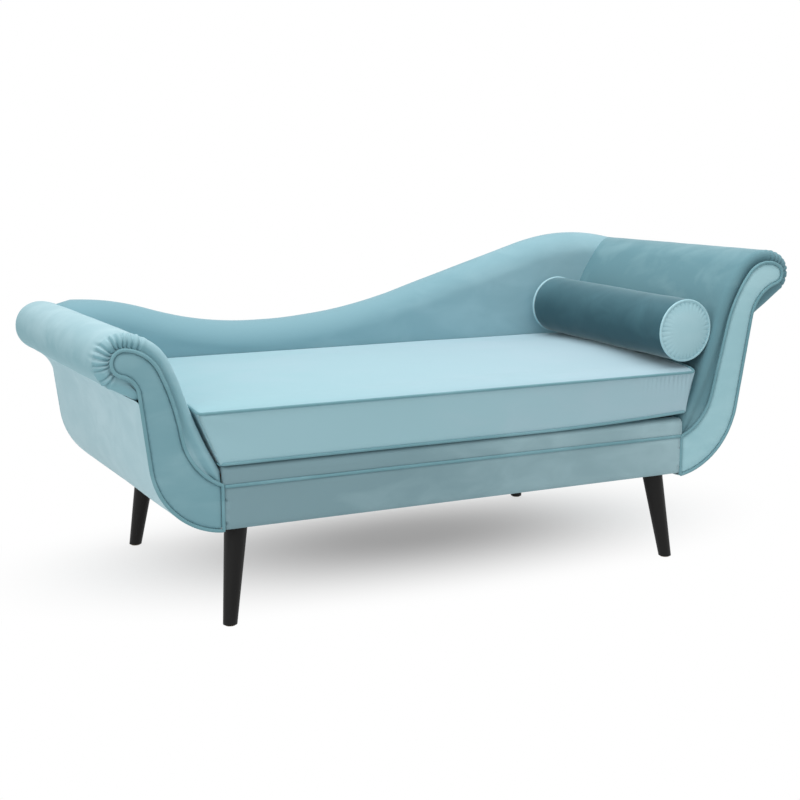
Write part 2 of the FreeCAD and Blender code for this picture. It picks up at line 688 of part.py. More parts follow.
# All the room that the back takes, with a gap round it
def back_space():
    y0 = BACK_FACE - GAP
    band = prism(back_chain(-GAP) + reversed_chain(back_chain(ROUND + GAP)), back_place, y0, REAR + 1.0)
    slab = prism(back_slab(-GAP, BACK_FOOT_HEIGHT - 40.0), back_place, y0, REAR_PANEL_FRONT + GAP)
    return joined([band, slab])


def make_facing(parts, side):
    arm, place = ARMS[side]
    edge = PIPING_RADIUS + GAP
    front = FRONT + FACING_SETBACK
    board_front = front + VELVET + GAP
    outer = prism(arm_outline(arm, -edge, edge), place, front, RAIL_BACK)
    hollow = prism(arm_outline(arm, -edge - VELVET, edge + VELVET), place, board_front - GAP, RAIL_BACK + 1.0)
    parts[side + "_facing_cover"] = outer.cut(hollow)
    inner = edge + VELVET + GAP
    parts[side + "_facing_board"] = prism(arm_outline(arm, -inner, inner), place, board_front, RAIL_BACK)

    cord_y = FRONT + PIPING_RADIUS
    outline = arm_outline(arm, 0.0, 0.0)
    closing = line(ends(outline[-1])[1], ends(outline[0])[0])
    pieces = cord(outline, place, cord_y, PIPING_RADIUS) + cord([closing], place, cord_y, PIPING_RADIUS)
    wide = prism(arm_outline(arm, FLANGE_HALF, -FLANGE_HALF), place, cord_y, cord_y + FLANGE_DEPTH)
    narrow = prism(arm_outline(arm, -FLANGE_HALF, FLANGE_HALF), place, cord_y - 1.0, RAIL_BACK)
    parts[side + "_facing_piping"] = joined(pieces + [wide.cut(narrow)])


def make_back(parts):
    shell = VELVET + GAP
    slab_front = BACK_FACE + shell
    foam = joined([
        back_round(ROUND - shell, 0),
        prism(back_slab(0.0, BACK_FOAM_BOTTOM), back_place, slab_front, BACK_PANEL_FRONT),
    ])
    parts["back_foam"] = foam
    cover = joined([
        back_round(ROUND, ROUND - VELVET),
        prism(back_slab(0.0, BACK_FOAM_BOTTOM), back_place, BACK_FACE, BACK_FACE + VELVET),
    ])
    parts["inside_back_cover"] = cover

    # The outside back spans both arms; the round top of the back and the roll ends are above it
    middle = back_slab(GAP, BACK_FOOT_HEIGHT - PANEL_LAP)
    heel = [(RAIL_LEFT, RAIL_BOTTOM - COVER_DROP), (RAIL_RIGHT, RAIL_BOTTOM - COVER_DROP),
            (RAIL_RIGHT, BACK_FOOT_HEIGHT + 10.0), (RAIL_LEFT, BACK_FOOT_HEIGHT + 10.0)]
    round_top = back_chain(-GAP) + reversed_chain(back_chain(ROUND + GAP))
    band = prism(round_top, back_place, BACK_FACE, REAR + 1.0)
    for name, y0, y1, grow in (("outside_back_board", REAR_BOARD, REAR_FACE, FLANGE_HALF),
                               ("outside_back_cover", REAR_FACE, REAR, FLANGE_HALF + GAP + VELVET)):
        pieces = [prism(middle, back_place, y0, y1), prism(polygon(heel), back_place, y0, y1)]
        for arm, place in ARMS.values():
            pieces.append(prism(arm_outline(arm, grow, -1.0), place, y0, y1))
        parts[name] = largest(joined(pieces).cut(band))


def make_rail_cover(parts):
    x0, x1 = RAIL_LEFT + PIPING_RADIUS + GAP, RAIL_RIGHT - PIPING_RADIUS - GAP
    front = FRONT + FACING_SETBACK
    run = V(x1 - x0, 0, 0)
    shelf = RAIL_TOP + CLIP_HEIGHT + 1.6
    seam_gap = FLANGE_HALF + GAP

    def side_face(points, rounded):
        edges = []
        for k, p in enumerate(points):
            q = points[(k + 1) % len(points)]
            if k == rounded:
                bow = NOSING_RADIUS * (1 - math.sqrt(0.5))
                middle = (p[0] + bow, q[1] - bow)
                edges.append(Part.Arc(V(x0, *p), V(x0, *middle), V(x0, *q)).toShape())
            else:
                edges.append(Part.LineSegment(V(x0, *p), V(x0, *q)).toShape())
        return Part.Face(Part.Wire(edges)).extrude(run)

    upper = [
        (front, RAIL_SEAM + seam_gap), (front, DECK_TOP - NOSING_RADIUS), (front + NOSING_RADIUS, DECK_TOP),
        (RAIL_BACK, DECK_TOP), (RAIL_BACK, shelf), (RAIL_FRONT, shelf), (RAIL_FRONT, RAIL_SEAM + seam_gap),
    ]
    nosing = side_face(upper, 1)
    under_seam = RAIL_SEAM - seam_gap
    wrap = RAIL_FRONT + 4.0
    lower = [
        (front, RAIL_BOTTOM - COVER_DROP), (front, under_seam), (RAIL_FRONT, under_seam),
        (RAIL_FRONT, RAIL_BOTTOM), (wrap, RAIL_BOTTOM), (wrap, RAIL_BOTTOM - COVER_DROP),
    ]
    cord_y = FRONT + PIPING_RADIUS
    welt = Part.makeCylinder(PIPING_RADIUS, run.x, V(x0, cord_y, RAIL_SEAM), V(1, 0, 0))
    room = Part.makeCylinder(PIPING_RADIUS + GAP, run.x, V(x0, cord_y, RAIL_SEAM), V(1, 0, 0))
    flange = box(x0, x1, cord_y, RAIL_FRONT, RAIL_SEAM - FLANGE_HALF, RAIL_SEAM + FLANGE_HALF)
    parts["rail_piping"] = joined([welt, flange])
    parts["rail_upper_cover"] = nosing.cut(room)
    parts["rail_lower_cover"] = side_face(lower, -1).cut(room)


def spring_path(y0, y1, z):
    step = 2 * SPRING_TURN_RADIUS
    lead = CLIP_DEPTH + 6.0
    count = int((y1 - y0 - 2 * lead - step) // step)
    first = (y0 + y1) / 2 - count * step / 2
    r, w = SPRING_TURN_RADIUS, SPRING_HALF_WIDTH
    h = math.sqrt(0.5)
    edges = [Part.LineSegment(V(0, y0, z), V(0, first - r, z)).toShape()]
    side = 1
    edges.append(Part.Arc(V(0, first - r, z), V(r * (1 - h), first - r + r * h, z), V(r, first, z)).toShape())
    x = r
    for k in range(count):
        y = first + k * step
        edges.append(Part.LineSegment(V(x, y, z), V(side * w, y, z)).toShape())
        x = side * w
        out = side * r
        edges.append(Part.Arc(V(x, y, z), V(x + out * h, y + r * (1 - h), z), V(x + out, y + r, z)).toShape())
        half_way = V(x + out * h, y + r * (1 + h), z)
        edges.append(Part.Arc(V(x + out, y + r, z), half_way, V(x, y + step, z)).toShape())
        side = -side
    y = first + count * step
    if x != side * r:
        edges.append(Part.LineSegment(V(x, y, z), V(side * r, y, z)).toShape())
    half_way = V(side * r * (1 - h), y + r * (1 - h), z)
    edges.append(Part.Arc(V(side * r, y, z), half_way, V(0, y + r, z)).toShape())
    edges.append(Part.LineSegment(V(0, y + r, z), V(0, y1, z)).toShape())
    return Part.Wire(edges)


def make_seat(parts):
    z = RAIL_TOP + CLIP_HEIGHT / 2
    front_clip = RAIL_FRONT + 5.0
    rear_clip = BACK_PANEL_FRONT - 5.0
    path = spring_path(front_clip + 3.0, rear_clip - 3.0, z)
    profile = Part.Wire(Part.makeCircle(SPRING_WIRE_RADIUS, V(0, front_clip + 3.0, z), Y_AXIS))
    spring = path.makePipeShell([profile], True, False)
    springs = []
    clips = []
    for k in range(SPRING_COUNT):
        x = RAIL_LEFT + RAIL_LENGTH * (k + 0.5) / SPRING_COUNT
        one = spring.copy()
        one.translate(V(x, 0, 0))
        springs.append(one)
        for y0 in (front_clip, rear_clip - CLIP_DEPTH):
            reach = CLIP_LENGTH / 2
            clip = box(x - reach, x + reach, y0, y0 + CLIP_DEPTH, RAIL_TOP, RAIL_TOP + CLIP_HEIGHT)
            bore = SPRING_WIRE_RADIUS + SCREW_CLEARANCE
            hole = Part.makeCylinder(bore, CLIP_DEPTH + 2.0, V(x, y0 - 1.0, z), Y_AXIS)
            clips.append(clip.cut(hole))
    parts["seat_springs"] = group(springs)
    parts["spring_clips"] = group(clips)

    x0, x1 = RAIL_LEFT + GAP, RAIL_RIGHT - GAP
    y0, y1 = RAIL_BACK + GAP, BACK_FACE - GAP
    foam_bottom = z + SPRING_WIRE_RADIUS + GAP
    deck_foam_top = DECK_TOP - DECK_FABRIC - GAP
    parts["deck_foam"] = box(x0, x1, y0, y1, foam_bottom, deck_foam_top)
    parts["deck_cover"] = box(x0, x1, y0, y1, DECK_TOP - DECK_FABRIC, DECK_TOP)

    x0, x1 = RAIL_LEFT + FLANGE_HALF + GAP, RAIL_RIGHT - FLANGE_HALF - GAP
    dust = box(x0, x1, RAIL_FRONT + 5.0, REAR_BOARD - 12.0, RAIL_BOTTOM - 1.0, RAIL_BOTTOM)
    for name, foot, top in leg_corners():
        half = PLATE_SIZE / 2 + 0.5
        dust = dust.cut(box(top.x - half, top.x + half, top.y - half, top.y + half, 0.0, RAIL_BOTTOM))
    parts["dust_cover"] = dust


# The cushion's section at a share of its length, shrunk by an inset
class Section:
    def __init__(self, share, inset):
        bottom = DECK_TOP + GAP
        lift_share = max(0.0, (share - CUSHION_LIFT_START) / (1 - CUSHION_LIFT_START))
        self.lift = CUSHION_LIFT * lift_share ** 2
        self.low = bottom + self.lift + inset
        self.front_top = bottom + CUSHION_FRONT_HEIGHT - inset
        self.rear_top = bottom + CUSHION_REAR_HEIGHT - inset
        self.front = FRONT + CUSHION_SETBACK + inset
        self.rear = BACK_FACE - 1.0 - inset
        fullness = 1 - abs(2 * share - 1) ** CUSHION_CROWN_POWER
        self.crown = CUSHION_END_CROWN + (CUSHION_CROWN - CUSHION_END_CROWN) * fullness
        left_height = CUSHION_REAR_HEIGHT + CUSHION_END_CROWN / 2
        left_low = RAIL_LEFT - pad_distance(LEFT_ARM, bottom) + 1.0
        left_high = RAIL_LEFT - pad_distance(LEFT_ARM, bottom + left_height) + 1.0
        right_foot = bottom + CUSHION_LIFT
        right_low = RAIL_RIGHT + pad_distance(RIGHT_ARM, right_foot) - 1.0
        right_high = RAIL_RIGHT + CUSHION_TOP_REACH
        slope_left = (left_high - left_low) / left_height
        slope_right = (right_high - right_low) / (CUSHION_FRONT_HEIGHT - CUSHION_LIFT)
        self.slope = slope_left + (slope_right - slope_left) * share
        shrink = inset * (1 - 2 * share)
        finish = right_low - slope_right * CUSHION_LIFT
        self.x_at_bottom = left_low + (finish - left_low) * share + shrink
        self.bottom = bottom

    def x(self, z):
        return self.x_at_bottom + self.slope * (z - self.bottom)

    # Heights measured along the slope of the section's own plane, and back
    def up(self, z):
        return (z - self.bottom) * math.hypot(1, self.slope)

    def place_up(self, p):
        return self.place((p[0], self.bottom + p[1] / math.hypot(1, self.slope)))

    def place(self, p):
        return V(self.x(p[1]), p[0], p[1])

    # The top line: three arcs that run into each other, steeper over the edges
    def crown_edges(self):
        front, rear = (self.front, self.up(self.front_top)), (self.rear, self.up(self.rear_top))
        chord = math.hypot(rear[0] - front[0], rear[1] - front[1])
        slope = angle_of(rear, front)
        a = math.radians(CUSHION_EDGE_HEADING)
        run = chord / 2 - CUSHION_EDGE_RADIUS * math.sin(a)
        rise = self.crown - CUSHION_EDGE_RADIUS * (1 - math.cos(a))
        flat = 2 * math.degrees(math.atan(rise / run))
        radius = CUSHION_EDGE_RADIUS + run / math.sin(math.radians(flat))
        edge_turn = CUSHION_EDGE_HEADING - flat
        first, heading = turn_right(front, slope + CUSHION_EDGE_HEADING, CUSHION_EDGE_RADIUS, edge_turn)
        middle, heading = turn_right(ends(first)[1], heading, radius, 2 * flat)
        last, heading = turn_right(ends(middle)[1], heading, CUSHION_EDGE_RADIUS, edge_turn)
        edges = []
        for seg in (first, middle, last):
            edges += edges_of(seg, self.place_up)
        return edges

    def wire(self):
        low_front, low_rear = self.place((self.front, self.low)), self.place((self.rear, self.low))
        front_middle = self.place((self.front + CUSHION_PULL, (self.low + self.front_top) / 2))
        rear_middle = self.place((self.rear - CUSHION_ZIP_PULL, (self.low + self.rear_top) / 2))
        crown = self.crown_edges()
        front_edge = crown[0].valueAt(crown[0].FirstParameter)
        rear_edge = crown[-1].valueAt(crown[-1].LastParameter)
        edges = [Part.LineSegment(low_rear, low_front).toShape()]
        edges.append(Part.Arc(low_front, front_middle, front_edge).toShape())
        edges += crown + [Part.Arc(rear_edge, rear_middle, low_rear).toShape()]
        return Part.Wire(edges)


# How far outside the rail's end the pad's face is at a height, on the pad's lower arc
def pad_distance(arm, z):
    base = pad_base(arm, 0.0)
    return base[1][0] + math.sqrt(base[2] ** 2 - (z - base[1][1]) ** 2)


def cushion_solid(inset):
    wires = [Section(share, inset).wire() for share in CUSHION_STATIONS]
    return Part.makeLoft(wires, True, False)


# A round cord along one edge, or along a run of edges that pass smoothly into each other
def round_cord(run, radius):
    spine = Part.Wire(run)
    first = spine.OrderedEdges[0]
    start = spine.OrderedVertexes[0].Point
    profile = Part.Wire(Part.makeCircle(radius, start, first.tangentAt(first.Curve.parameter(start))))
    if len(run) > 1:
        return spine.makePipeShell([profile], True, False)
    start = first.valueAt(first.FirstParameter)
    ring = Part.Face(Part.Wire(Part.makeCircle(radius, start, first.tangentAt(first.FirstParameter))))
    if hasattr(first.Curve, "Radius"):
        turned = math.degrees(first.LastParameter - first.FirstParameter)
        return ring.revolve(first.Curve.Center, first.Curve.Axis, turned)
    return ring.extrude(first.valueAt(first.LastParameter) - start)


# Cords with a ball at each corner
def welt(runs, corners, radius):
    return joined([round_cord(run, radius) for run in runs] + [Part.makeSphere(radius, p) for p in corners])


# An arc that leaves the first point level and ends in the second
def rising_arc(start, end):
    rise = end.z - start.z
    radius = ((end.x - start.x) ** 2 + rise ** 2) / (2 * rise)
    centre = (start.x, start.z + radius)
    return arc(centre, radius, -90.0, angle_of((end.x, end.z), centre))


# The cords run along the top and the bottom edges of the cushion
def cushion_welts(radius):
    inset = CUSHION_PIPING_RADIUS
    first, last = Section(0.0, inset), Section(1.0, inset)
    bend = Section(CUSHION_LIFT_START, inset)
    upper = [[edge] for edge in first.crown_edges() + last.crown_edges()]
    lower = []
    corners = []
    for y_of, z_of in ((lambda t: t.front, lambda t: t.front_top), (lambda t: t.rear, lambda t: t.rear_top)):
        points = [t.place((y_of(t), z_of(t))) for t in (first, last)]
        upper.append([Part.LineSegment(*points).toShape()])
        corners.append(points)
        start, turn, end = [t.place((y_of(t), t.low)) for t in (first, bend, last)]
        rise = edges_of(rising_arc(turn, end), lambda p: V(p[0], turn.y, p[1]))
        lower.append([Part.LineSegment(start, turn).toShape()] + rise)
        corners.append([start, end])
    for t in (first, last):
        lower.append([Part.LineSegment(t.place((t.front, t.low)), t.place((t.rear, t.low))).toShape()])
    return [welt(upper, corners[0] + corners[2], radius), welt(lower, corners[1] + corners[3], radius)]


def make_cushion(parts):
    outer = cushion_solid(CUSHION_PIPING_RADIUS)
    inner = cushion_solid(CUSHION_PIPING_RADIUS + VELVET)
    core = cushion_solid(CUSHION_PIPING_RADIUS + VELVET + GAP)
    room = cushion_welts(CUSHION_PIPING_RADIUS + GAP)
    cover = outer.cut(inner)
    for cord_room in room:
        cover = cover.cut(cord_room)
        core = core.cut(cord_room)
    parts["seat_cushion_cover"] = cover
    parts["seat_cushion_foam"] = largest(core)
    parts["seat_cushion_piping"] = group(cushion_welts(CUSHION_PIPING_RADIUS))

    # The zip lies in the hollow of the rear boxing, its slider at the left end of the tape
    middle = Section(0.5, CUSHION_PIPING_RADIUS)
    z = (middle.low + middle.rear_top) / 2
    y = middle.rear - CUSHION_ZIP_PULL + 2 * GAP
    x0 = middle.x(z) - ZIP_LENGTH / 2
    tape_back = y + ZIP_THICKNESS
    parts["cushion_zip"] = box(x0, x0 + ZIP_LENGTH, y, tape_back, z - ZIP_WIDTH / 2, z + ZIP_WIDTH / 2)
    slider_x = x0 + ZIP_END
    slider = tape_back + SCREW_CLEARANCE
    body = box(slider_x, slider_x + SLIDER_LENGTH, slider, slider + SLIDER_THICKNESS,
               z - SLIDER_WIDTH / 2, z + SLIDER_WIDTH / 2)
    tab_x = slider_x + SLIDER_LENGTH / 2
    tab = box(tab_x - SLIDER_WIDTH / 4, tab_x + SLIDER_WIDTH / 4, slider, slider + SLIDER_THICKNESS,
              z - SLIDER_WIDTH / 2 - SLIDER_PULL, z)
    parts["cushion_zip_slider"] = joined([body, tab])
    return outer


# The bolster's outline, half of it, turned round its axis; the axis runs along Y
def bolster_solid(inset, half_length):
    r = BOLSTER_COVER_RADIUS - inset
    end = half_length - inset
    cap = (r ** 2 + BOLSTER_CAP_RISE ** 2) / (2 * BOLSTER_CAP_RISE)
    mid_rise = BOLSTER_CAP_RISE - cap + math.sqrt(cap ** 2 - (r / 2) ** 2)
    points = [V(0, -end - BOLSTER_CAP_RISE, 0), V(r / 2, -end - mid_rise, 0), V(r, -end, 0),
              V(r, end, 0), V(r / 2, end + mid_rise, 0), V(0, end + BOLSTER_CAP_RISE, 0)]
    edges = [
        Part.Arc(points[0], points[1], points[2]).toShape(),
        Part.LineSegment(points[2], points[3]).toShape(),
        Part.Arc(points[3], points[4], points[5]).toShape(),
        Part.LineSegment(points[5], points[0]).toShape(),
    ]
    return Part.Face(Part.Wire(edges)).revolve(V(0, 0, 0), Y_AXIS, 360)


def bolster_rings(radius):
    half = BOLSTER_LENGTH / 2
    middle = BOLSTER_RADIUS - BOLSTER_PIPING_RADIUS
    return [Part.makeTorus(middle, radius, V(0, y, 0), Y_AXIS) for y in (-half, half)]


def make_bolster(parts, cushion):
    half = BOLSTER_LENGTH / 2
    outer = bolster_solid(0.0, half)
    cover = outer.cut(bolster_solid(VELVET, half))
    filling = bolster_solid(VELVET + GAP, half)
    for ring in bolster_rings(BOLSTER_PIPING_RADIUS + GAP):
        cover = cover.cut(ring)
        filling = filling.cut(ring)

    # Lower it on the cushion's crown and push it against the pad of the right arm
    y = FRONT + BOLSTER_FRONT + half
    droop = half * math.sin(math.radians(BOLSTER_PITCH))
    base = pad_base(RIGHT_ARM, 0.0)
    room = base[2] - BOLSTER_RADIUS - 2 * GAP
    body = group([outer] + bolster_rings(BOLSTER_PIPING_RADIUS))
    z = cushion.BoundBox.ZMax + BOLSTER_RADIUS
    for step in range(4):
        s = min(base[1][0] + math.sqrt(room ** 2 - (base[1][1] - h) ** 2) for h in (z - droop, z + droop))
        at = V(RAIL_RIGHT + s, y, z)
        trial = moved(body, at)
        z -= trial.distToShape(cushion)[0] - GAP
    at = V(RAIL_RIGHT + s, y, z)
    parts["bolster_cover"] = moved(cover, at)
    parts["bolster_filling"] = moved(filling, at)
    parts["bolster_piping"] = moved(group(bolster_rings(BOLSTER_PIPING_RADIUS)), at)


def moved(shape, at):
    shape = shape.copy()
    shape.rotate(V(0, 0, 0), V(1, 0, 0), BOLSTER_PITCH)
    shape.translate(at)
    return shape


def make_legs(parts):
    bolts, plates, glides, screws = [], [], [], []
    for name, foot, top in leg_corners():
        ends_of_leg = ((LEG_FOOT_RADIUS, foot), (LEG_TOP_RADIUS, top))
        rings = [Part.Wire(Part.makeCircle(r, at, V(0, 0, 1))) for r, at in ends_of_leg]
        hole = bolt(foot, top, BOLT_RADIUS + BOLT_CLEARANCE, BOLT_IN_LEG + GAP, 2 * PLATE_THICKNESS)
        parts[name + "_leg"] = Part.makeLoft(rings, True, True).cut(hole)
        bolts.append(bolt(foot, top, BOLT_RADIUS, BOLT_IN_LEG, BOLT_ABOVE_PLATE + PLATE_THICKNESS))
        glides.append(Part.makeCylinder(GLIDE_RADIUS, GLIDE_HEIGHT, V(foot.x, foot.y, 0)))
        half = PLATE_SIZE / 2
        plate = box(top.x - half, top.x + half, top.y - half, top.y + half, top.z, top.z + PLATE_THICKNESS)
        plate = plate.cut(hole)
        for place in screw_places(top):
            under = V(place.x, place.y, top.z)
            plate = plate.cut(Part.makeCylinder(SCREW_RADIUS + SCREW_CLEARANCE, PLATE_THICKNESS, under))
            shaft = Part.makeCylinder(SCREW_RADIUS, PLATE_THICKNESS + SCREW_LENGTH, under)
            head = Part.makeCylinder(SCREW_HEAD_RADIUS, SCREW_HEAD_HEIGHT, under - V(0, 0, SCREW_HEAD_HEIGHT))
            screws.append(joined([shaft, head]))
        plates.append(plate)
    parts["leg_bolts"] = group(bolts)
    parts["leg_plates"] = group(plates)
    parts["leg_glides"] = group(glides)
    parts["plate_screws"] = group(screws)


nodes = {}
make_frame(nodes)
for side in ("left", "right"):
    make_arm(nodes, side)
    make_facing(nodes, side)
make_back(nodes)
make_rail_cover(nodes)
make_seat(nodes)
cushion = make_cushion(nodes)
make_bolster(nodes, cushion)
make_legs(nodes)

os.makedirs("parts", exist_ok=True)
for name, shape in nodes.items():
    shape.exportStep("parts/" + name + ".step")
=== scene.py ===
import math

import bmesh
import bpy
import numpy as np
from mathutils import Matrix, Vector, noise
from mathutils.geometry import delaunay_2d_cdt


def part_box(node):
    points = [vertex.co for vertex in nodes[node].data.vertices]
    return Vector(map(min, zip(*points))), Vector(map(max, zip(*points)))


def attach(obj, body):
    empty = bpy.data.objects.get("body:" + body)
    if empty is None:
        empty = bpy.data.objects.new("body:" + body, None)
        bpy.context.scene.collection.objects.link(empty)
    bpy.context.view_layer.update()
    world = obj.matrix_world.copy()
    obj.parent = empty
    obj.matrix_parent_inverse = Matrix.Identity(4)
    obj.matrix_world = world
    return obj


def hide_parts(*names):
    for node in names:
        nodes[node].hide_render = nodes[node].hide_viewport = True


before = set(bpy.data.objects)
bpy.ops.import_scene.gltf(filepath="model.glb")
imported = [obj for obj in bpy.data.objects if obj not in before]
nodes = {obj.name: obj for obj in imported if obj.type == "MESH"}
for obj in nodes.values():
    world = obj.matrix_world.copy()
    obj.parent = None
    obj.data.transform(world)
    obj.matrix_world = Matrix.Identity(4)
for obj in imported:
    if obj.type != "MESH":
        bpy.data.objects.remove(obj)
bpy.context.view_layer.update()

MM = 0.001


# Camera
# It stands where the photograph's camera stood, a little left of the front and above
# the seat. Place, tilt and lens follow from the feet, the rails and the pipings.
CAMERA_PLACE = (-1.4187, -2.7334, 0.880)
CAMERA_TILT = math.radians(90 - 9.812)
CAMERA_TURN = math.radians(-27.04)
CAMERA_LENS = 62.19


def shown(name, data):
    """An object in the scene for a mesh, a lamp or a camera."""
    made = bpy.data.objects.new(name, data)
    bpy.context.scene.collection.objects.link(made)
    return made


lens = bpy.data.cameras.new("camera")
lens.lens = CAMERA_LENS
lens.sensor_width = 36.0
camera = shown("camera", lens)
camera.location = CAMERA_PLACE
camera.rotation_euler = (CAMERA_TILT, 0, CAMERA_TURN)
bpy.context.scene.camera = camera
bpy.context.scene.view_settings.view_transform = "Standard"


# Floor
# A large sheet of matt pale paper. Seen by the camera it turns to pure white away
# from the object, so the shadow under the seat stays and no horizon shows.
FLOOR_SIZE = 14.0
FLOOR_COLOUR = "#E9EAEA"
SHADOW_CENTRE = (0.05, 0.12, 0)
SHADOW_HALF_SIZE = (0.70, 0.342, 1.0)
WHITE_FROM, WHITE_TO = 0.10, 1.55
WHITE_AT_CENTRE = 0.28


def add(tree, kind, links=None, **settings):
    """Adds a node, sets its attributes and sockets, and links other nodes' outputs into it."""
    made = tree.nodes.new(kind)
    for key, value in settings.items():
        if hasattr(made, key):
            setattr(made, key, value)
        else:
            made.inputs[key.replace("_", " ")].default_value = value
    for socket, source in (links or {}).items():
        tree.links.new(source, made.inputs[socket])
    return made


def srgb(code, alpha=1.0):
    """A hex colour as the linear colour that the shaders use."""
    parts = [int(code[k:k + 2], 16) / 255 for k in (1, 3, 5)]
    return [c / 12.92 if c <= 0.04045 else ((c + 0.055) / 1.055) ** 2.4 for c in parts] + [alpha]


def ray_is_seen(tree):
    """1 for what the camera sees, straight or by way of a shine or glass, 0 for light on its way."""
    path = add(tree, "ShaderNodeLightPath")
    seen = add(tree, "ShaderNodeMath", {0: path.outputs["Is Camera Ray"], 1: path.outputs["Is Glossy Ray"]},
               operation="MAXIMUM")
    seen = add(tree, "ShaderNodeMath", {0: seen.outputs[0], 1: path.outputs["Is Transmission Ray"]},
               operation="MAXIMUM")
    return seen.outputs[0]


floor_mesh = bpy.data.meshes.new("floor")
half = FLOOR_SIZE / 2
corners = [(-half, -half, 0), (half, -half, 0), (half, half, 0), (-half, half, 0)]
floor_mesh.from_pydata(corners, [], [(0, 1, 2, 3)])
floor = shown("floor", floor_mesh)
# Uncoated paper: no shine at all, so only the soft shade of the object lies on it
paper = bpy.data.materials.new("matt_paper_floor")
paper.use_nodes = True
tree = paper.node_tree
tree.nodes.clear()
place = add(tree, "ShaderNodeTexCoord")
centred = add(tree, "ShaderNodeVectorMath", {0: place.outputs["Object"]}, operation="SUBTRACT")
centred.inputs[1].default_value = SHADOW_CENTRE
shrunk = add(tree, "ShaderNodeVectorMath", {0: centred.outputs["Vector"]}, operation="DIVIDE")
shrunk.inputs[1].default_value = SHADOW_HALF_SIZE
away = add(tree, "ShaderNodeVectorMath", {0: shrunk.outputs["Vector"]}, operation="LENGTH")
fade = add(tree, "ShaderNodeMapRange", {"Value": away.outputs["Value"]}, interpolation_type="SMOOTHSTEP",
           From_Min=WHITE_FROM, From_Max=WHITE_TO, To_Min=WHITE_AT_CENTRE, To_Max=1.0)
share = add(tree, "ShaderNodeMath", {0: fade.outputs["Result"], 1: ray_is_seen(tree)}, operation="MULTIPLY")
matt = add(tree, "ShaderNodeBsdfDiffuse", Color=srgb(FLOOR_COLOUR))
glow = add(tree, "ShaderNodeEmission", Strength=1.0)
mixed = add(tree, "ShaderNodeMixShader", {0: share.outputs[0], 1: matt.outputs[0], 2: glow.outputs[0]})
add(tree, "ShaderNodeOutputMaterial", {0: mixed.outputs[0]})
floor_mesh.materials.append(paper)


# Sky and lamps
# An even white studio, which the camera sees as pure white, with a wide soft light
# overhead and a smaller one at the left.
SKY_LIGHT = 0.62
OVERHEAD_WATTS, LEFT_WATTS = 42.0, 16.0
world = bpy.data.worlds.new("studio")
bpy.context.scene.world = world
world.use_nodes = True
tree = world.node_tree
tree.nodes.clear()
strength = add(tree, "ShaderNodeMapRange", {"Value": ray_is_seen(tree)}, To_Min=SKY_LIGHT, To_Max=1.0)
sky = add(tree, "ShaderNodeBackground", {"Strength": strength.outputs["Result"]}, Color=(1, 1, 1, 1))
add(tree, "ShaderNodeOutputWorld", {0: sky.outputs[0]})


def softbox(name, watts, size, place, target):
    lamp = bpy.data.lights.new(name, "AREA")
    lamp.energy = watts
    lamp.shape = "RECTANGLE"
    lamp.size, lamp.size_y = size
    holder = shown(name, lamp)
    holder.location = place
    holder.rotation_euler = (Vector(target) - Vector(place)).to_track_quat("-Z", "Y").to_euler()


softbox("overhead_light", OVERHEAD_WATTS, (2.6, 1.8), (0.1, -0.3, 2.6), (0, 0, 0.3))
softbox("left_light", LEFT_WATTS, (1.6, 1.6), (-2.8, -1.6, 1.7), (0, 0, 0.4))


# Inside of the arms with their rolls
# Foam over bent board under one piece of velvet, which runs from the seat over the
# scroll. At the front the spare cloth is gathered into short folds round the scroll
# and tacked under the facing's piping; at the back it meets the seat back.

# Every cover here is polyester velvet with a short cut pile. The pile leans, so wide
# patches turn lighter or darker where a hand has brushed it, and its tips catch the
# light at the edges of every round form.
PILE_GRAIN = 1.4
BRUSH_LENGTH = 150.0
BRUSH_STRETCH = (0.7, 1.0, 1.4)
PATCH_FROM, PATCH_TO = 0.14, 0.40


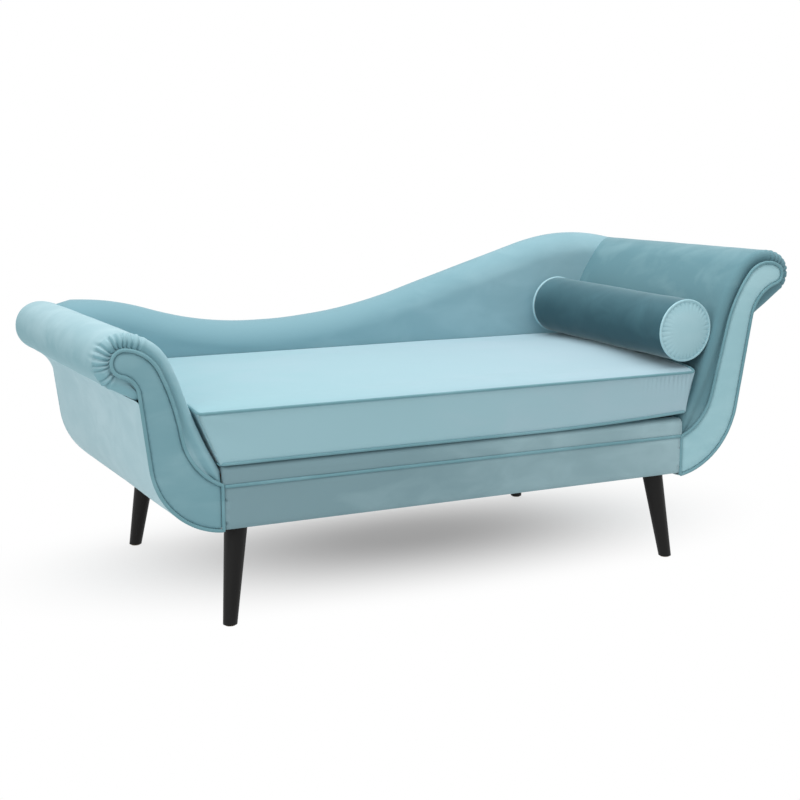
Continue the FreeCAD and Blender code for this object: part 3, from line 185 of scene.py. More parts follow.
def velvet(name, base, light, sheen=0.55, brushed=0.5, lean=(0, 0, 0), drift=(0, 0, 0)):
    """base is the velvet's darker colour and light its lighter one, which wide brushed patches mix at random.
    lean is painted light: how much of the lighter colour a face shows for each axis it is turned along, and
    drift how that changes per metre."""
    cloth = bpy.data.materials.new(name)
    cloth.use_nodes = True
    tree = cloth.node_tree
    shader = tree.nodes["Principled BSDF"]
    place = add(tree, "ShaderNodeTexCoord")
    slide = add(tree, "ShaderNodeMapping", {"Vector": place.outputs["Object"]}, Scale=BRUSH_STRETCH)
    wide = add(tree, "ShaderNodeTexNoise", {"Vector": slide.outputs[0]}, Scale=1000 / BRUSH_LENGTH / 3,
               Detail=3.0, Roughness=0.55, Distortion=0.6)
    fine = add(tree, "ShaderNodeTexNoise", {"Vector": slide.outputs[0]}, Scale=1000 / BRUSH_LENGTH * 2,
               Detail=3.0, Roughness=0.5, Distortion=0.5)
    both = add(tree, "ShaderNodeMath", {0: wide.outputs["Fac"], 1: fine.outputs["Fac"]}, operation="MULTIPLY")
    spread = add(tree, "ShaderNodeMapRange", {"Value": both.outputs[0]}, interpolation_type="SMOOTHSTEP",
                 From_Min=PATCH_FROM, From_Max=PATCH_TO, To_Max=brushed)
    # Painted light: a face takes more of the lighter colour the more it is turned along lean, as if lit from
    # there
    turned = add(tree, "ShaderNodeVectorMath", {0: place.outputs["Normal"]}, operation="DOT_PRODUCT")
    turned.inputs[1].default_value = lean
    moved = add(tree, "ShaderNodeVectorMath", {0: place.outputs["Object"]}, operation="DOT_PRODUCT")
    moved.inputs[1].default_value = drift
    pile = add(tree, "ShaderNodeMath", {0: turned.outputs["Value"], 1: moved.outputs["Value"]},
               operation="ADD")
    pile = add(tree, "ShaderNodeMath", {0: pile.outputs[0], 1: spread.outputs["Result"]}, operation="ADD",
               use_clamp=True)
    colour = add(tree, "ShaderNodeMix", {"Factor": pile.outputs[0]}, data_type="RGBA")
    colour.inputs[6].default_value = srgb(base)
    colour.inputs[7].default_value = srgb(light)
    tree.links.new(colour.outputs[2], shader.inputs["Base Color"])
    # The pile's tips, drawn coarser than the real ones so that they show at this distance
    tips = add(tree, "ShaderNodeTexNoise", {"Vector": place.outputs["Object"]}, Scale=1000 / PILE_GRAIN,
               Detail=2.0, Roughness=0.6)
    relief = add(tree, "ShaderNodeBump", {"Height": tips.outputs["Fac"]}, Strength=0.12, Distance=0.0006)
    tree.links.new(relief.outputs[0], shader.inputs["Normal"])
    shader.inputs["Roughness"].default_value = 0.86
    shader.inputs["Specular IOR Level"].default_value = 0.18
    shader.inputs["Sheen Weight"].default_value = sheen
    shader.inputs["Sheen Roughness"].default_value = 0.34
    shader.inputs["Sheen Tint"].default_value = srgb("#D3ECF2")
    return cloth


# The low arm's velvet is coloured lighter on faces turned up, a painted highlight along the roll; the high
# arm's is coloured darker as painted shade, with a weaker painted highlight on faces turned up, and darker
# towards its top
arm_velvet_painted_light = {
    "left": velvet("velvet_left_arm", "#83AFB9", "#BDDAE2", brushed=0.28, lean=(0.05, 0, 0.50)),
    "right": velvet("velvet_right_arm", "#678F99", "#8DB0B8", brushed=0.42, lean=(0.1, 0, 0.25),
                    drift=(0, 0, -0.25)),
}


def soft_object(name, points, faces, material):
    """A smooth piece of cloth from points in millimetres, welded where points meet."""
    mesh = bpy.data.meshes.new(name)
    mesh.from_pydata([(p[0] * MM, p[1] * MM, p[2] * MM) for p in points], [], faces)
    work = bmesh.new()
    work.from_mesh(mesh)
    bmesh.ops.remove_doubles(work, verts=work.verts, dist=2e-5)
    bmesh.ops.recalc_face_normals(work, faces=work.faces)
    work.to_mesh(mesh)
    work.free()
    mesh.polygons.foreach_set("use_smooth", [True] * len(mesh.polygons))
    mesh.materials.append(material)
    return shown(name, mesh)


def loft(name, rings, material, closed=False):
    """A closed skin over loops of equal length; an open run is closed by strips across its end loops."""
    rings = np.asarray(rings, float)
    count, size = rings.shape[:2]
    faces = []
    for i in range(count if closed else count - 1):
        for j in range(size):
            a, b = i * size + j, i * size + (j + 1) % size
            c = (i + 1) % count * size + (j + 1) % size
            d = (i + 1) % count * size + j
            faces.append((a, b, c, d))
    if not closed:
        for start in (0, (count - 1) * size):
            for j in range(size // 2 - 1):
                faces.append((start + j, start + j + 1, start + size - 2 - j, start + size - 1 - j))
    return soft_object(name, rings.reshape(-1, 3), faces, material)


def ripple(x, y, z, size, seed=0.0):
    """Smooth noise from -1 to 1 at a place, with waves about size millimetres long."""
    return noise.noise(Vector((x / size + seed, y / size - seed, z / size + 2 * seed)))


# Lines and arcs as the frame maker draws them: a plane curve in two coordinates, angles in degrees
def line(p, q):
    return ("line", p, q)


def arc(centre, radius, start, end):
    return ("arc", centre, radius, start, end)


def on_circle(centre, radius, degrees):
    a = math.radians(degrees)
    return (centre[0] + radius * math.cos(a), centre[1] + radius * math.sin(a))


def ends(seg):
    if seg[0] == "line":
        return seg[1], seg[2]
    return on_circle(seg[1], seg[2], seg[3]), on_circle(seg[1], seg[2], seg[4])


def angle_of(p, centre):
    return math.degrees(math.atan2(p[1] - centre[1], p[0] - centre[0]))


def run_on(start, heading, length):
    return on_circle(start, length, heading)


def turn_left(start, heading, radius, turn):
    return arc(run_on(start, heading + 90, radius), radius, heading - 90, heading - 90 + turn), heading + turn


def turn_right(start, heading, radius, turn):
    return arc(run_on(start, heading - 90, radius), radius, heading + 90, heading + 90 - turn), heading - turn


def distances(points):
    """How far along its line each point lies."""
    return np.concatenate([[0], np.cumsum(np.linalg.norm(np.diff(points, axis=0), axis=1))])


def sampled(chain, spacing):
    """Points along a chain with the direction to its left at each, and the distance run."""
    points, lefts = [], []
    for seg in chain:
        start, end = ends(seg)
        if seg[0] == "line":
            length = math.dist(start, end)
            count = max(1, round(length / spacing))
            left = ((start[1] - end[1]) / length, (end[0] - start[0]) / length)
            for k in range(count):
                part = k / count
                points.append((start[0] + (end[0] - start[0]) * part, start[1] + (end[1] - start[1]) * part))
                lefts.append(left)
        else:
            centre, radius, a0, a1 = seg[1:]
            count = max(2, round(radius * math.radians(abs(a1 - a0)) / spacing))
            side = -1 if a1 > a0 else 1
            for k in range(count):
                a = a0 + (a1 - a0) * k / count
                points.append(on_circle(centre, radius, a))
                lefts.append(on_circle((0, 0), side, a))
    points.append(ends(chain[-1])[1])
    lefts.append(lefts[-1])
    points, lefts = np.array(points), np.array(lefts)
    return points, lefts, distances(points)


# The arms' outlines: distances outwards from the end of the rail, heights from the floor
RAIL_LEFT, RAIL_RIGHT = -568.32, 504.68
FRONT, REAR = -342.0, 342.0
LEFT_ARM = {
    "base_start": -55.0, "base_height": 270.0, "base_radius": 134.0, "base_turn": 79.5,
    "flank_length": 14.0, "shoulder_radius": 448.0, "shoulder_turn": 15.0,
    "crest_radius": 76.5, "crest_turn": 59.0, "scroll_radius": 24.0, "neck_radius": 40.0,
    "outer_start": -12.0, "outer_height": 194.0, "outer_radius": 150.0, "outer_turn": 83.0,
    "pad": 29.0, "pad_base_radius": 718.0, "tuck": 14.0,
}
RIGHT_ARM = {
    "base_start": -41.0, "base_height": 272.0, "base_radius": 125.5, "base_turn": 76.0,
    "flank_length": 156.0, "shoulder_radius": 290.0, "shoulder_turn": 25.0,
    "crest_radius": 67.0, "crest_turn": 78.5, "scroll_radius": 21.5, "neck_radius": 94.0,
    "outer_start": -25.0, "outer_height": 189.0, "outer_radius": 178.0, "outer_turn": 80.0,
    "pad": 27.0, "pad_base_radius": 900.0, "tuck": 4.0,
}
PAD_START = 308.0


def shifted(seg, distance):
    """The same line or arc moved to its left."""
    if seg[0] == "line":
        (x0, z0), (x1, z1) = seg[1], seg[2]
        length = math.hypot(x1 - x0, z1 - z0)
        dx, dz = -(z1 - z0) / length * distance, (x1 - x0) / length * distance
        return line((x0 + dx, z0 + dz), (x1 + dx, z1 + dz))
    centre, radius, start, end = seg[1:]
    return arc(centre, radius + (-distance if end > start else distance), start, end)


def arm_curves(arm):
    """The arm's wooden outline piece by piece, from the seat over the scroll to the rail's foot."""
    start = (arm["base_start"], arm["base_height"])
    base, heading = turn_left(start, 0.0, arm["base_radius"], arm["base_turn"])
    flank = line(ends(base)[1], run_on(ends(base)[1], heading, arm["flank_length"]))
    shoulder, heading = turn_right(flank[2], heading, arm["shoulder_radius"], arm["shoulder_turn"])
    crest, heading = turn_right(ends(shoulder)[1], heading, arm["crest_radius"], arm["crest_turn"])
    centre = run_on(ends(crest)[1], heading - 90, arm["scroll_radius"])
    start = (arm["outer_start"], arm["outer_height"])
    up, outer_heading = turn_left(start, 0.0, arm["outer_radius"], arm["outer_turn"])
    foot = ends(up)[1]
    reach = arm["scroll_radius"] + arm["neck_radius"]
    start = run_on(foot, outer_heading - 90, arm["neck_radius"])
    wx, wz = start[0] - centre[0], start[1] - centre[1]
    a = math.radians(outer_heading)
    along = wx * math.cos(a) + wz * math.sin(a)
    rise = -along - math.sqrt(along ** 2 - (wx ** 2 + wz ** 2 - reach ** 2))
    neck_centre = run_on(start, outer_heading, rise)
    neck_foot = run_on(foot, outer_heading, rise)
    touch = angle_of(neck_centre, centre)
    return {
        "base": base, "flank": flank, "shoulder": shoulder, "crest": crest,
        "scroll": arc(centre, arm["scroll_radius"], heading + 90, touch),
        "neck": arc(neck_centre, arm["neck_radius"], touch + 180, outer_heading + 90),
        "outer_line": line(neck_foot, foot), "outer": arc(up[1], up[2], up[4], up[3]),
        "heading": outer_heading, "neck_foot": neck_foot,
    }


def foot_angle(seg, distance):
    """Where an arc that starts from the rail's end is cut off at a distance from it."""
    return -math.degrees(math.acos((distance - seg[1][0]) / seg[2]))


def pad_face(arm, inset=0.0):
    """The outer line of the stuffed inside of an arm, from the seat over the roll to its underside."""
    curves = arm_curves(arm)
    shoulder, radius = curves["shoulder"], arm["pad_base_radius"]
    target = shoulder[2] + arm["pad"]
    cx, cz = shoulder[1]
    away = math.hypot(cx, cz - PAD_START)
    toward = math.degrees(math.atan2(cz - PAD_START, cx))
    cosine = (radius ** 2 + away ** 2 - (radius + target) ** 2) / (2 * radius * away)
    centre = on_circle((0.0, PAD_START), radius, toward + math.degrees(math.acos(cosine)))
    lower = arc(centre, radius + inset, -math.degrees(math.acos(-centre[0] / (radius + inset))),
                angle_of(shoulder[1], centre))
    thick = arm["pad"] - inset
    over = shifted(shoulder, thick)
    over = arc(over[1], over[2], lower[4] + 180, over[4])
    crest, scroll = shifted(curves["crest"], thick), shifted(curves["scroll"], thick)
    down = curves["heading"] + 180
    tuck = run_on(run_on(curves["neck_foot"], down, arm["tuck"]), down + 90, 3.1 - inset)
    away = math.dist(tuck, scroll[1])
    leave = angle_of(tuck, scroll[1]) + math.degrees(math.acos(scroll[2] / away))
    scroll = arc(scroll[1], scroll[2], scroll[3], leave)
    return [lower, over, crest, scroll, line(ends(scroll)[1], tuck)]


def at_arm(side, s, y, z):
    """A point of an arm, s being the distance outwards from the end of the rail."""
    return (RAIL_LEFT - s, y, z) if side == "left" else (RAIL_RIGHT + s, y, z)


PAD_FRONT = FRONT + 8.0
PAD_REAR = REAR - 5.3
PAD_EDGE = 15.0
REAR_EDGE = 9.0
TUCK_INSETS = (25.0, 22.5, 20.0, 17.5)
FINE_STEP, FINE_REACH, WIDE_STEP = 3.5, 70.0, 11.0
FOLD_REACH = 90.0
FOLD_DEPTH = {"left": 4.0, "right": 2.4}
FOLD_WIDTH, FOLD_RADIUS = 2.4, 60.0
# Angles round the scroll at which the cloth is tucked, with each crease's reach in millimetres
ARM_FOLDS = {
    "left": ((128, 15), (113, 24), (101, 12), (90, 26), (74, 14), (62, 20), (40, 30), (27, 22), (12, 34),
             (-4, 20), (-15, 27), (-38, 16), (-52, 22)),
    "right": ((96, 14), (80, 26), (66, 16), (48, 28), (24, 20), (8, 30), (-16, 18), (-40, 22)),
}


def make_pad(side, arm):
    curves = arm_curves(arm)
    outer, lefts, run = sampled(pad_face(arm), 2.6)
    centre = curves["scroll"][1]
    count = len(outer)
    # The inner side of the loop follows the arm's own outline, paired point by point
    inside = [shifted(curves[k], -1.0) for k in ("base", "flank", "shoulder", "crest", "scroll", "neck")]
    inside[0] = arc(inside[0][1], inside[0][2], foot_angle(inside[0], 0.0), inside[0][4])
    raw, _, far = sampled(inside, 3.0)
    inner = np.stack([np.interp(run / run[-1] * far[-1], far, raw[:, k]) for k in (0, 1)], axis=1)
    thick = np.linalg.norm(outer - inner, axis=1)
    # Each station is a place along the arm, an inset, and the lean of the skin there:
    # from the tucked front, over the rounded edge, to the plain run and the rear end
    stations = [(PAD_FRONT + 0.25 * (inset - PAD_EDGE), inset, 0.0) for inset in TUCK_INSETS]
    stations += [(PAD_FRONT + PAD_EDGE * (1 - math.cos(a)), PAD_EDGE * (1 - math.sin(a)), a)
                 for a in np.radians(np.linspace(0, 90, 10))]
    y = PAD_FRONT + PAD_EDGE
    while y < PAD_REAR - 12:
        y += FINE_STEP if y < PAD_FRONT + FINE_REACH else WIDE_STEP
        stations.append((min(y, PAD_REAR - REAR_EDGE), 0.0, math.pi / 2))
    stations += [(PAD_REAR - REAR_EDGE * (1 - math.sin(a)), REAR_EDGE * (1 - math.cos(a)), math.pi / 2)
                 for a in np.radians(np.linspace(10, 90, 7))]
    rings = []
    for y, inset, skin in stations:
        from_front = y - PAD_FRONT
        travel = from_front if skin > 1.5 else -inset * 0.6
        ring = []
        for k in range(count):
            s, z = outer[k]
            n = lefts[k]
            lift = 1.1 * ripple(s, y, z, 120, 3.0) + 0.5 * ripple(s, y, z, 34, 7.0)
            around = angle_of((s, z), centre)
            for middle, reach in ARM_FOLDS[side] if from_front < FOLD_REACH else ():
                bend = 5.0 * ripple(middle, 0, 0, 7.0, 1.0) * max(0.0, travel) / 20
                off = math.radians(around - middle - bend) * FOLD_RADIUS
                deep = FOLD_DEPTH[side] * math.exp(-(max(0.0, travel) / reach) ** 2)
                beside = (abs(off) - 3 * FOLD_WIDTH) / (2 * FOLD_WIDTH)
                lift -= deep * math.exp(-(off / FOLD_WIDTH) ** 2)
                lift += 0.35 * deep * math.exp(-beside ** 2)
            lift *= min(1.0, k / 10, (count - 1 - k) / 8)
            out = lift * math.sin(skin) - min(inset, 0.75 * thick[k])
            ring.append(at_arm(side, s + n[0] * out, y - lift * math.cos(skin), z + n[1] * out))
        ring += [at_arm(side, inner[k][0], y, inner[k][1]) for k in reversed(range(count))]
        rings.append(ring)
    pad = loft(side + "_arm_pad", rings, arm_velvet_painted_light[side])
    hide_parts(side + "_inside_arm_cover", side + "_inside_arm_foam", side + "_roll_end")
    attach(pad, "frame")


make_pad("left", LEFT_ARM)
make_pad("right", RIGHT_ARM)


# Outside of the arms
# One plain panel of velvet over a thin bent board, from the underside of the
# roll down to the bottom of the rail, sewn to the outside back.
PANEL_PROUD = 1.7
HOLLOW_FRONT, HOLLOW_REAR = 9.0, 40.0
PANEL_FRONT, PANEL_REAR = FRONT + 7.0, REAR - 0.6
# All the outer faces are given a light velvet colour, the same on every face
outside_velvet = velvet("velvet_outside", "#B0CFD7", "#CBE3EA", brushed=0.5)


def make_outside(side, arm):
    curves = arm_curves(arm)
    outer = curves["outer"]
    chain = [curves["outer_line"], arc(*outer[1:4], foot_angle(outer, 0.4))]
    wall = sampled([shifted(seg, PANEL_PROUD) for seg in chain], 4.0)[0]
    # The hollow under the roll: from the roll's underside the cloth bends down into the panel
    under, foot = shifted(pad_face(arm)[-1], PANEL_PROUD), shifted(curves["outer_line"], PANEL_PROUD)
    inner_end, outer_end, top, bottom = [np.array(p) for p in under[1:] + foot[1:]]
    inward = (outer_end - inner_end) / np.linalg.norm(outer_end - inner_end)
    down = (bottom - top) / np.linalg.norm(bottom - top)
    corner = inner_end + np.linalg.solve(np.array([inward, -down]).T, top - inner_end)[0] * inward
    ys = np.concatenate([np.linspace(PANEL_FRONT, FRONT + 60, 10), np.linspace(FRONT + 70, REAR - 20, 46),
                         np.linspace(REAR - 14, PANEL_REAR, 6)])
    rings = []
    for y in ys:
        front, back = y - PANEL_FRONT, PANEL_REAR - y
        edge = min(1.0, (front + 1.5) / 10, (back + 1.5) / 10)
        opened = min(1.0, max(0.0, front - 10) / 240) ** 0.8
        size = HOLLOW_FRONT + (HOLLOW_REAR - HOLLOW_FRONT) * opened
        bend = [corner - size * inward * (1 - part) ** 2 + size * down * part ** 2
                for part in np.linspace(0, 1, 16)]
        route = np.array(bend + [point for point in wall if (point - corner) @ down > size + 2])
        run = distances(route)
        at = np.linspace(0, run[-1], 110)
        route = np.stack([np.interp(at, run, route[:, k]) for k in (0, 1)], axis=1)
        ahead = np.gradient(route, axis=0)
        ahead /= np.linalg.norm(ahead, axis=1)[:, None]
        outer, inner = [], []
        for k, (s, z) in enumerate(route):
            free = edge * min(1.0, k / 16)
            lift = free * (1.4 + 0.9 * ripple(s, y, z, 150, 11.0) + 0.35 * ripple(s, y, z, 40, 4.0))
            n = (-ahead[k][1], ahead[k][0])
            outer.append(at_arm(side, s + n[0] * lift, y, z + n[1] * lift))
            inner.append(at_arm(side, s - n[0] * 1.2, y, z - n[1] * 1.2))
        rings.append(outer + inner[::-1])
    panel = loft(side + "_outside_panel", rings, outside_velvet)
    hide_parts(side + "_outside_arm_cover")
    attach(panel, "frame")


make_outside("left", LEFT_ARM)
make_outside("right", RIGHT_ARM)


# Facings
# A shaped board with wadding and velvet on each arm's front end, framed by
# piping. It is pinned on after the arm is covered, so it sits a little proud.
FACING_PUFF = 3.0
FACING_INSET = 3.6
# The low facing's pile lies down and is dull; the high one's turns light towards its top
facing_velvet = {
    "left": velvet("velvet_left_facing", "#7AA4AE", "#95BBC3", brushed=0.5),
    "right": velvet("velvet_right_facing", "#96C4CD", "#B2DAE2", brushed=0.5, drift=(0, 0, 0.9)),
}


def arm_outline(arm, grow, edge):
    """The arm's whole outline grown outwards, cut off at a distance from the rail's end."""
    curves = arm_curves(arm)
    base, outer = shifted(curves["base"], grow), shifted(curves["outer"], grow)
    base = arc(base[1], base[2], foot_angle(base, edge), base[4])
    outer = arc(outer[1], outer[2], outer[3], foot_angle(outer, edge))
    between = ("flank", "shoulder", "crest", "scroll", "neck", "outer_line")
    middle = [shifted(curves[name], grow) for name in between]
    return [base] + middle + [outer]


def inside_test(outline, points):
    x, z = points[:, 0][:, None], points[:, 1][:, None]
    a, b = outline, np.roll(outline, -1, axis=0)
    crosses = (a[:, 1] > z) != (b[:, 1] > z)
    rise = np.where(b[:, 1] == a[:, 1], 1e-9, b[:, 1] - a[:, 1])
    where = a[:, 0] + (z - a[:, 1]) * (b[:, 0] - a[:, 0]) / rise
    return (np.sum(crosses & (x < where), axis=1) % 2) == 1


def edge_distance(outline, points):
    a, b = outline, np.roll(outline, -1, axis=0)
    d = b - a
    best = np.full(len(points), 1e9)
    for k in range(len(a)):
        t = np.clip(((points - a[k]) @ d[k]) / max(1e-9, d[k] @ d[k]), 0, 1)
        near = a[k] + t[:, None] * d[k]
        best = np.minimum(best, np.linalg.norm(points - near, axis=1))
    return best


def flat_panel(name, outline, spacing, face_y, back_y, shape, material):
    """A closed sheet in the X-Z plane; shape(x, z, distance to the edge) moves its face out."""
    outline = np.asarray(outline, float)
    low, high = outline.min(0), outline.max(0)
    xs, zs = np.arange(low[0], high[0], spacing), np.arange(low[1], high[1], spacing * 0.87)
    grid = np.array([(x + (spacing / 2 if k % 2 else 0), z) for k, z in enumerate(zs) for x in xs])
    grid = grid[inside_test(outline, grid)]
    grid = grid[edge_distance(outline, grid) > spacing * 0.45]
    points = [Vector(p) for p in np.concatenate([outline, grid])]
    found = delaunay_2d_cdt(points, [], [list(range(len(outline)))], 1, 1e-4)
    flat, triangles = found[0], found[2]
    flat = np.array([(p[0], p[1]) for p in flat])
    rim = edge_distance(outline, flat)
    out = -1 if face_y < back_y else 1
    front = [(x, face_y + out * shape(x, z, d), z) for (x, z), d in zip(flat, rim)]
    back = [(x, back_y, z) for x, z in flat]
    count = len(flat)
    faces = [tuple(t) for t in triangles] + [tuple(v + count for v in reversed(t)) for t in triangles]
    edges = {}
    for t in triangles:
        for k in range(len(t)):
            a, b = t[k], t[(k + 1) % len(t)]
            edges[(a, b)] = edges.get((a, b), 0) + 1
    for a, b in edges:
        if (b, a) not in edges:
            faces.append((b, a, a + count, b + count))
    return soft_object(name, front + back, faces, material)


def with_steps(outline, spacing):
    """The same closed outline, its corners kept and its long sides divided."""
    out = []
    for k, p in enumerate(outline):
        q = outline[(k + 1) % len(outline)]
        count = max(1, math.ceil(math.dist(p, q) / spacing))
        out += [(p[0] + (q[0] - p[0]) * i / count, p[1] + (q[1] - p[1]) * i / count) for i in range(count)]
    merged = []
    for p in out:
        if not merged or math.dist(p, merged[-1]) > spacing * 0.3:
            merged.append(p)
    return merged


def make_facing(side, arm):
    points, _, _ = sampled(arm_outline(arm, -FACING_INSET, FACING_INSET), 5.0)
    outline = [at_arm(side, s, 0, z)[::2] for s, z in points]

    def shape(x, z, d):
        roll = 1 - math.exp(-d / 7.0)
        return FACING_PUFF * roll + 0.4 * ripple(x, 0, z, 60, 9.0) * roll - 0.6

    facing = flat_panel(side + "_facing", outline, 5.0, FRONT + 4.0, FRONT + 33.0, shape, facing_velvet[side])
    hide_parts(side + "_facing_cover")
    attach(facing, "frame")


make_facing("left", LEFT_ARM)
make_facing("right", RIGHT_ARM)


# Rear ends of the arms
# A flat piece of the arm's own velvet, sewn in by hand, closes each arm and its roll
# at the back. It sinks a little at its seam.
def make_roll_end(side, arm):
    curves = arm_curves(arm)
    over, _, _ = sampled(pad_face(arm, 2.0), 6.0)
    down, _, _ = sampled([line(curves["neck_foot"], ends(curves["outer_line"])[1]), curves["outer"]], 8.0)
    outline = [at_arm(side, s, 0, z)[::2] for s, z in list(over) + list(down)]

    def shape(x, z, d):
        return -2.5 * math.exp(-d / 5.0)

    outline = with_steps(outline, 8.0)
    end = flat_panel(side + "_roll_end_piece", outline, 9.0, REAR - 3.5, REAR - 14.0, shape, arm_velvet_painted_light[side])
    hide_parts(side + "_roll_end")
    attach(end, "frame")


make_roll_end("left", LEFT_ARM)
make_roll_end("right", RIGHT_ARM)


# Piping of the facings
# Bias-cut velvet sewn over a cord and laid round each facing. Its cloth shows faint
# creases where it is pulled round the curves.
PIPING = 3.5
# A piping is coloured a little darker than the cloth beside it
piping_velvet = velvet("velvet_piping", "#729DA6", "#92BBC4", sheen=0.5, brushed=0.4)


def tube(name, points, radius, material, closed=False, sides=12):
    """A round cord along a line; the loops turn with the line, so that the skin is not twisted."""
    points = np.asarray(points, float)
    count = len(points)
    if closed:
        tangents = np.roll(points, -1, axis=0) - np.roll(points, 1, axis=0)
    else:
        tangents = np.gradient(points, axis=0)
    tangents /= np.linalg.norm(tangents, axis=1)[:, None]
    first = np.cross(tangents[0], (0, 1, 0) if abs(tangents[0][1]) < 0.9 else (1, 0, 0))
    normal = first / np.linalg.norm(first)
    normals = []
    for t in tangents:
        normal = normal - t * (normal @ t)
        normal /= np.linalg.norm(normal)
        normals.append(normal)
    twist = 0.0
    if closed:
        back = normals[-1] - tangents[0] * (normals[-1] @ tangents[0])
        back /= np.linalg.norm(back)
        side = np.cross(tangents[0], normals[0])
        twist = math.atan2(back @ side, back @ normals[0])
    rings = []
    for k in range(count):
        side = np.cross(tangents[k], normals[k])
        ring = []
        for j in range(sides):
            a = 2 * math.pi * j / sides - twist * k / count
            p = points[k] + radius * (math.cos(a) * normals[k] + math.sin(a) * side)
            swell = 1 + 0.05 * ripple(p[0], p[1], p[2], 9, 1.0) + 0.04 * ripple(p[0], p[1], p[2], 26, 6.0)
            ring.append(points[k] + (p - points[k]) * swell)
        rings.append(ring)
    return loft(name, rings, material, closed)


def spaced(points, spacing, closed=False):
    """The same line with its points at equal steps."""
    points = np.asarray(points, float)
    if closed:
        points = np.vstack([points, points[:1]])
    run = distances(points)
    count = max(2, round(run[-1] / spacing))
    at = np.linspace(0, run[-1], count + 1)
    out = np.stack([np.interp(at, run, points[:, k]) for k in range(3)], axis=1)
    return out[:-1] if closed else out


for side, arm in (("left", LEFT_ARM), ("right", RIGHT_ARM)):
    points, _, _ = sampled(arm_outline(arm, 0.0, 0.0), 3.0)
    cord = [at_arm(side, s, FRONT + PIPING, z) for s, z in points]
    welt = tube(side + "_facing_welt", spaced(cord, 3.0, True), PIPING, piping_velvet, closed=True)
    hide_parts(side + "_facing_piping")
    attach(welt, "frame")


# Seat back
# Foam with a full round top over a plywood back, covered in velvet. The top line
# rises from a low hump at the left to a high one at the right.
BACK_FACE = 231.0
BACK_ROUND = 55.5
BACK_MIDDLE = REAR - BACK_ROUND
BACK_CORNER = 65.0
BACK_FOOT = 312.0
# The pile is brushed towards the low end, so the high end looks lighter; faces turned up are coloured darker
# as painted shade
back_velvet_painted_light = velvet("velvet_back", "#82A9B4", "#A6C9D2", brushed=0.30, lean=(0, 0, -0.35),
                     drift=(0.90, 0, 0))


def back_chain(inset):
    """The top line of the back from its left end to its right one, moved inwards."""
    top = (RAIL_LEFT - 120.0, 581.0)
    corner = arc((top[0], top[1] - BACK_CORNER), BACK_CORNER, 180.0, 90.0)
    hump, heading = turn_right(top, 0.0, 556.0, 18.0)
    dip, heading = turn_left(ends(hump)[1], heading, 805.0, 17.4)
    rise, heading = turn_left(ends(dip)[1], heading, 1280.0, 17.5)
    slope = line(ends(rise)[1], run_on(ends(rise)[1], heading, 361.0))
    crown, heading = turn_right(slope[2], heading, 539.0, 29.9)
    fall, heading = turn_right(ends(crown)[1], heading, BACK_CORNER, 90.0 + heading)
    return [shifted(seg, -inset) for seg in (corner, hump, dip, rise, slope, crown, fall)]


points, lefts, run = sampled(back_chain(BACK_ROUND), 5.0)
feet = np.interp(run, [0, run[-1]], [RAIL_LEFT - 100.0, RAIL_RIGHT + 100.0])
rings = []
for k in range(len(points)):
    (x, z), n = points[k], lefts[k]
    foot = min(max(feet[k], x - 90), x + 90)
    foot = min(max(foot, RAIL_LEFT - 100.0), RAIL_RIGHT + 100.0)
    ring = []
    for part in np.linspace(0, 1, 30)[:-1]:
        px, pz = foot + (x - foot) * part, BACK_FOOT + (z - BACK_FOOT) * part
        swell = 1.2 * math.sin(math.pi * min(1, part * 1.1)) + 0.9 * ripple(px, 0, pz, 140, 2.0)
        ring.append((px, BACK_FACE - max(-0.5, swell) * 0.6 + 0.4, pz))
    for a in np.radians(np.linspace(180, 0, 25)):
        r = BACK_ROUND + 0.7 * ripple(x, 100 * a, z, 90, 8.0) - 0.3
        out = r * math.sin(a)
        ring.append((x + n[0] * out, BACK_MIDDLE + r * math.cos(a), z + n[1] * out))
    under = []
    for part in np.linspace(0, 1, len(ring)):
        px, pz = foot + (x - foot) * part, BACK_FOOT + (z - BACK_FOOT) * part
        under.append((px, BACK_FACE + 12.0 + 60.0 * part, pz - 6.0 * part))
    rings.append(ring + under[::-1])
back = loft("inside_back", rings, back_velvet_painted_light)
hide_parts("inside_back_cover", "back_foam")
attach(back, "frame")


# Outside back
# One flat panel of velvet over hardboard closes the rear, from the frame's foot
# to the underside of the back's round top. It is back-tacked and hand-stitched.
def panel_outline(node, y):
    """The border of a packed flat cover's face at y, in X and Z, walked round once."""
    work = bmesh.new()
    work.from_mesh(nodes[node].data)
    bmesh.ops.remove_doubles(work, verts=work.verts, dist=1e-5)
    work.verts.index_update()
    flat = {f for f in work.faces if all(abs(v.co.y - y) < 1e-4 for v in f.verts)}
    follow, places = {}, {}
    for face in flat:
        for corner in face.loops:
            if sum(other in flat for other in corner.edge.link_faces) == 1:
                a, b = corner.vert, corner.link_loop_next.vert
                follow[a.index] = b.index
                places[a.index] = (a.co.x / MM, a.co.z / MM)
    work.free()
    border = []
    while follow:
        at = next(iter(follow))
        walk = []
        while at in follow:
            walk.append(places[at])
            at = follow.pop(at)
        border = max(border, walk, key=len)
    return border


def outside_back_shape(x, z, d):
    roll = 1 - math.exp(-d / 9.0)
    return -0.9 + 1.4 * roll + 0.8 * ripple(x, 0, z, 210, 2.0) * roll + 0.25 * ripple(x, 0, z, 60, 5.0) * roll


border = with_steps(panel_outline("outside_back_cover", REAR * MM), 9.0)
rear_panel = flat_panel("outside_back", border, 12.0, REAR, REAR - 1.9, outside_back_shape, outside_velvet)
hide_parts("outside_back_cover")
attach(rear_panel, "frame")


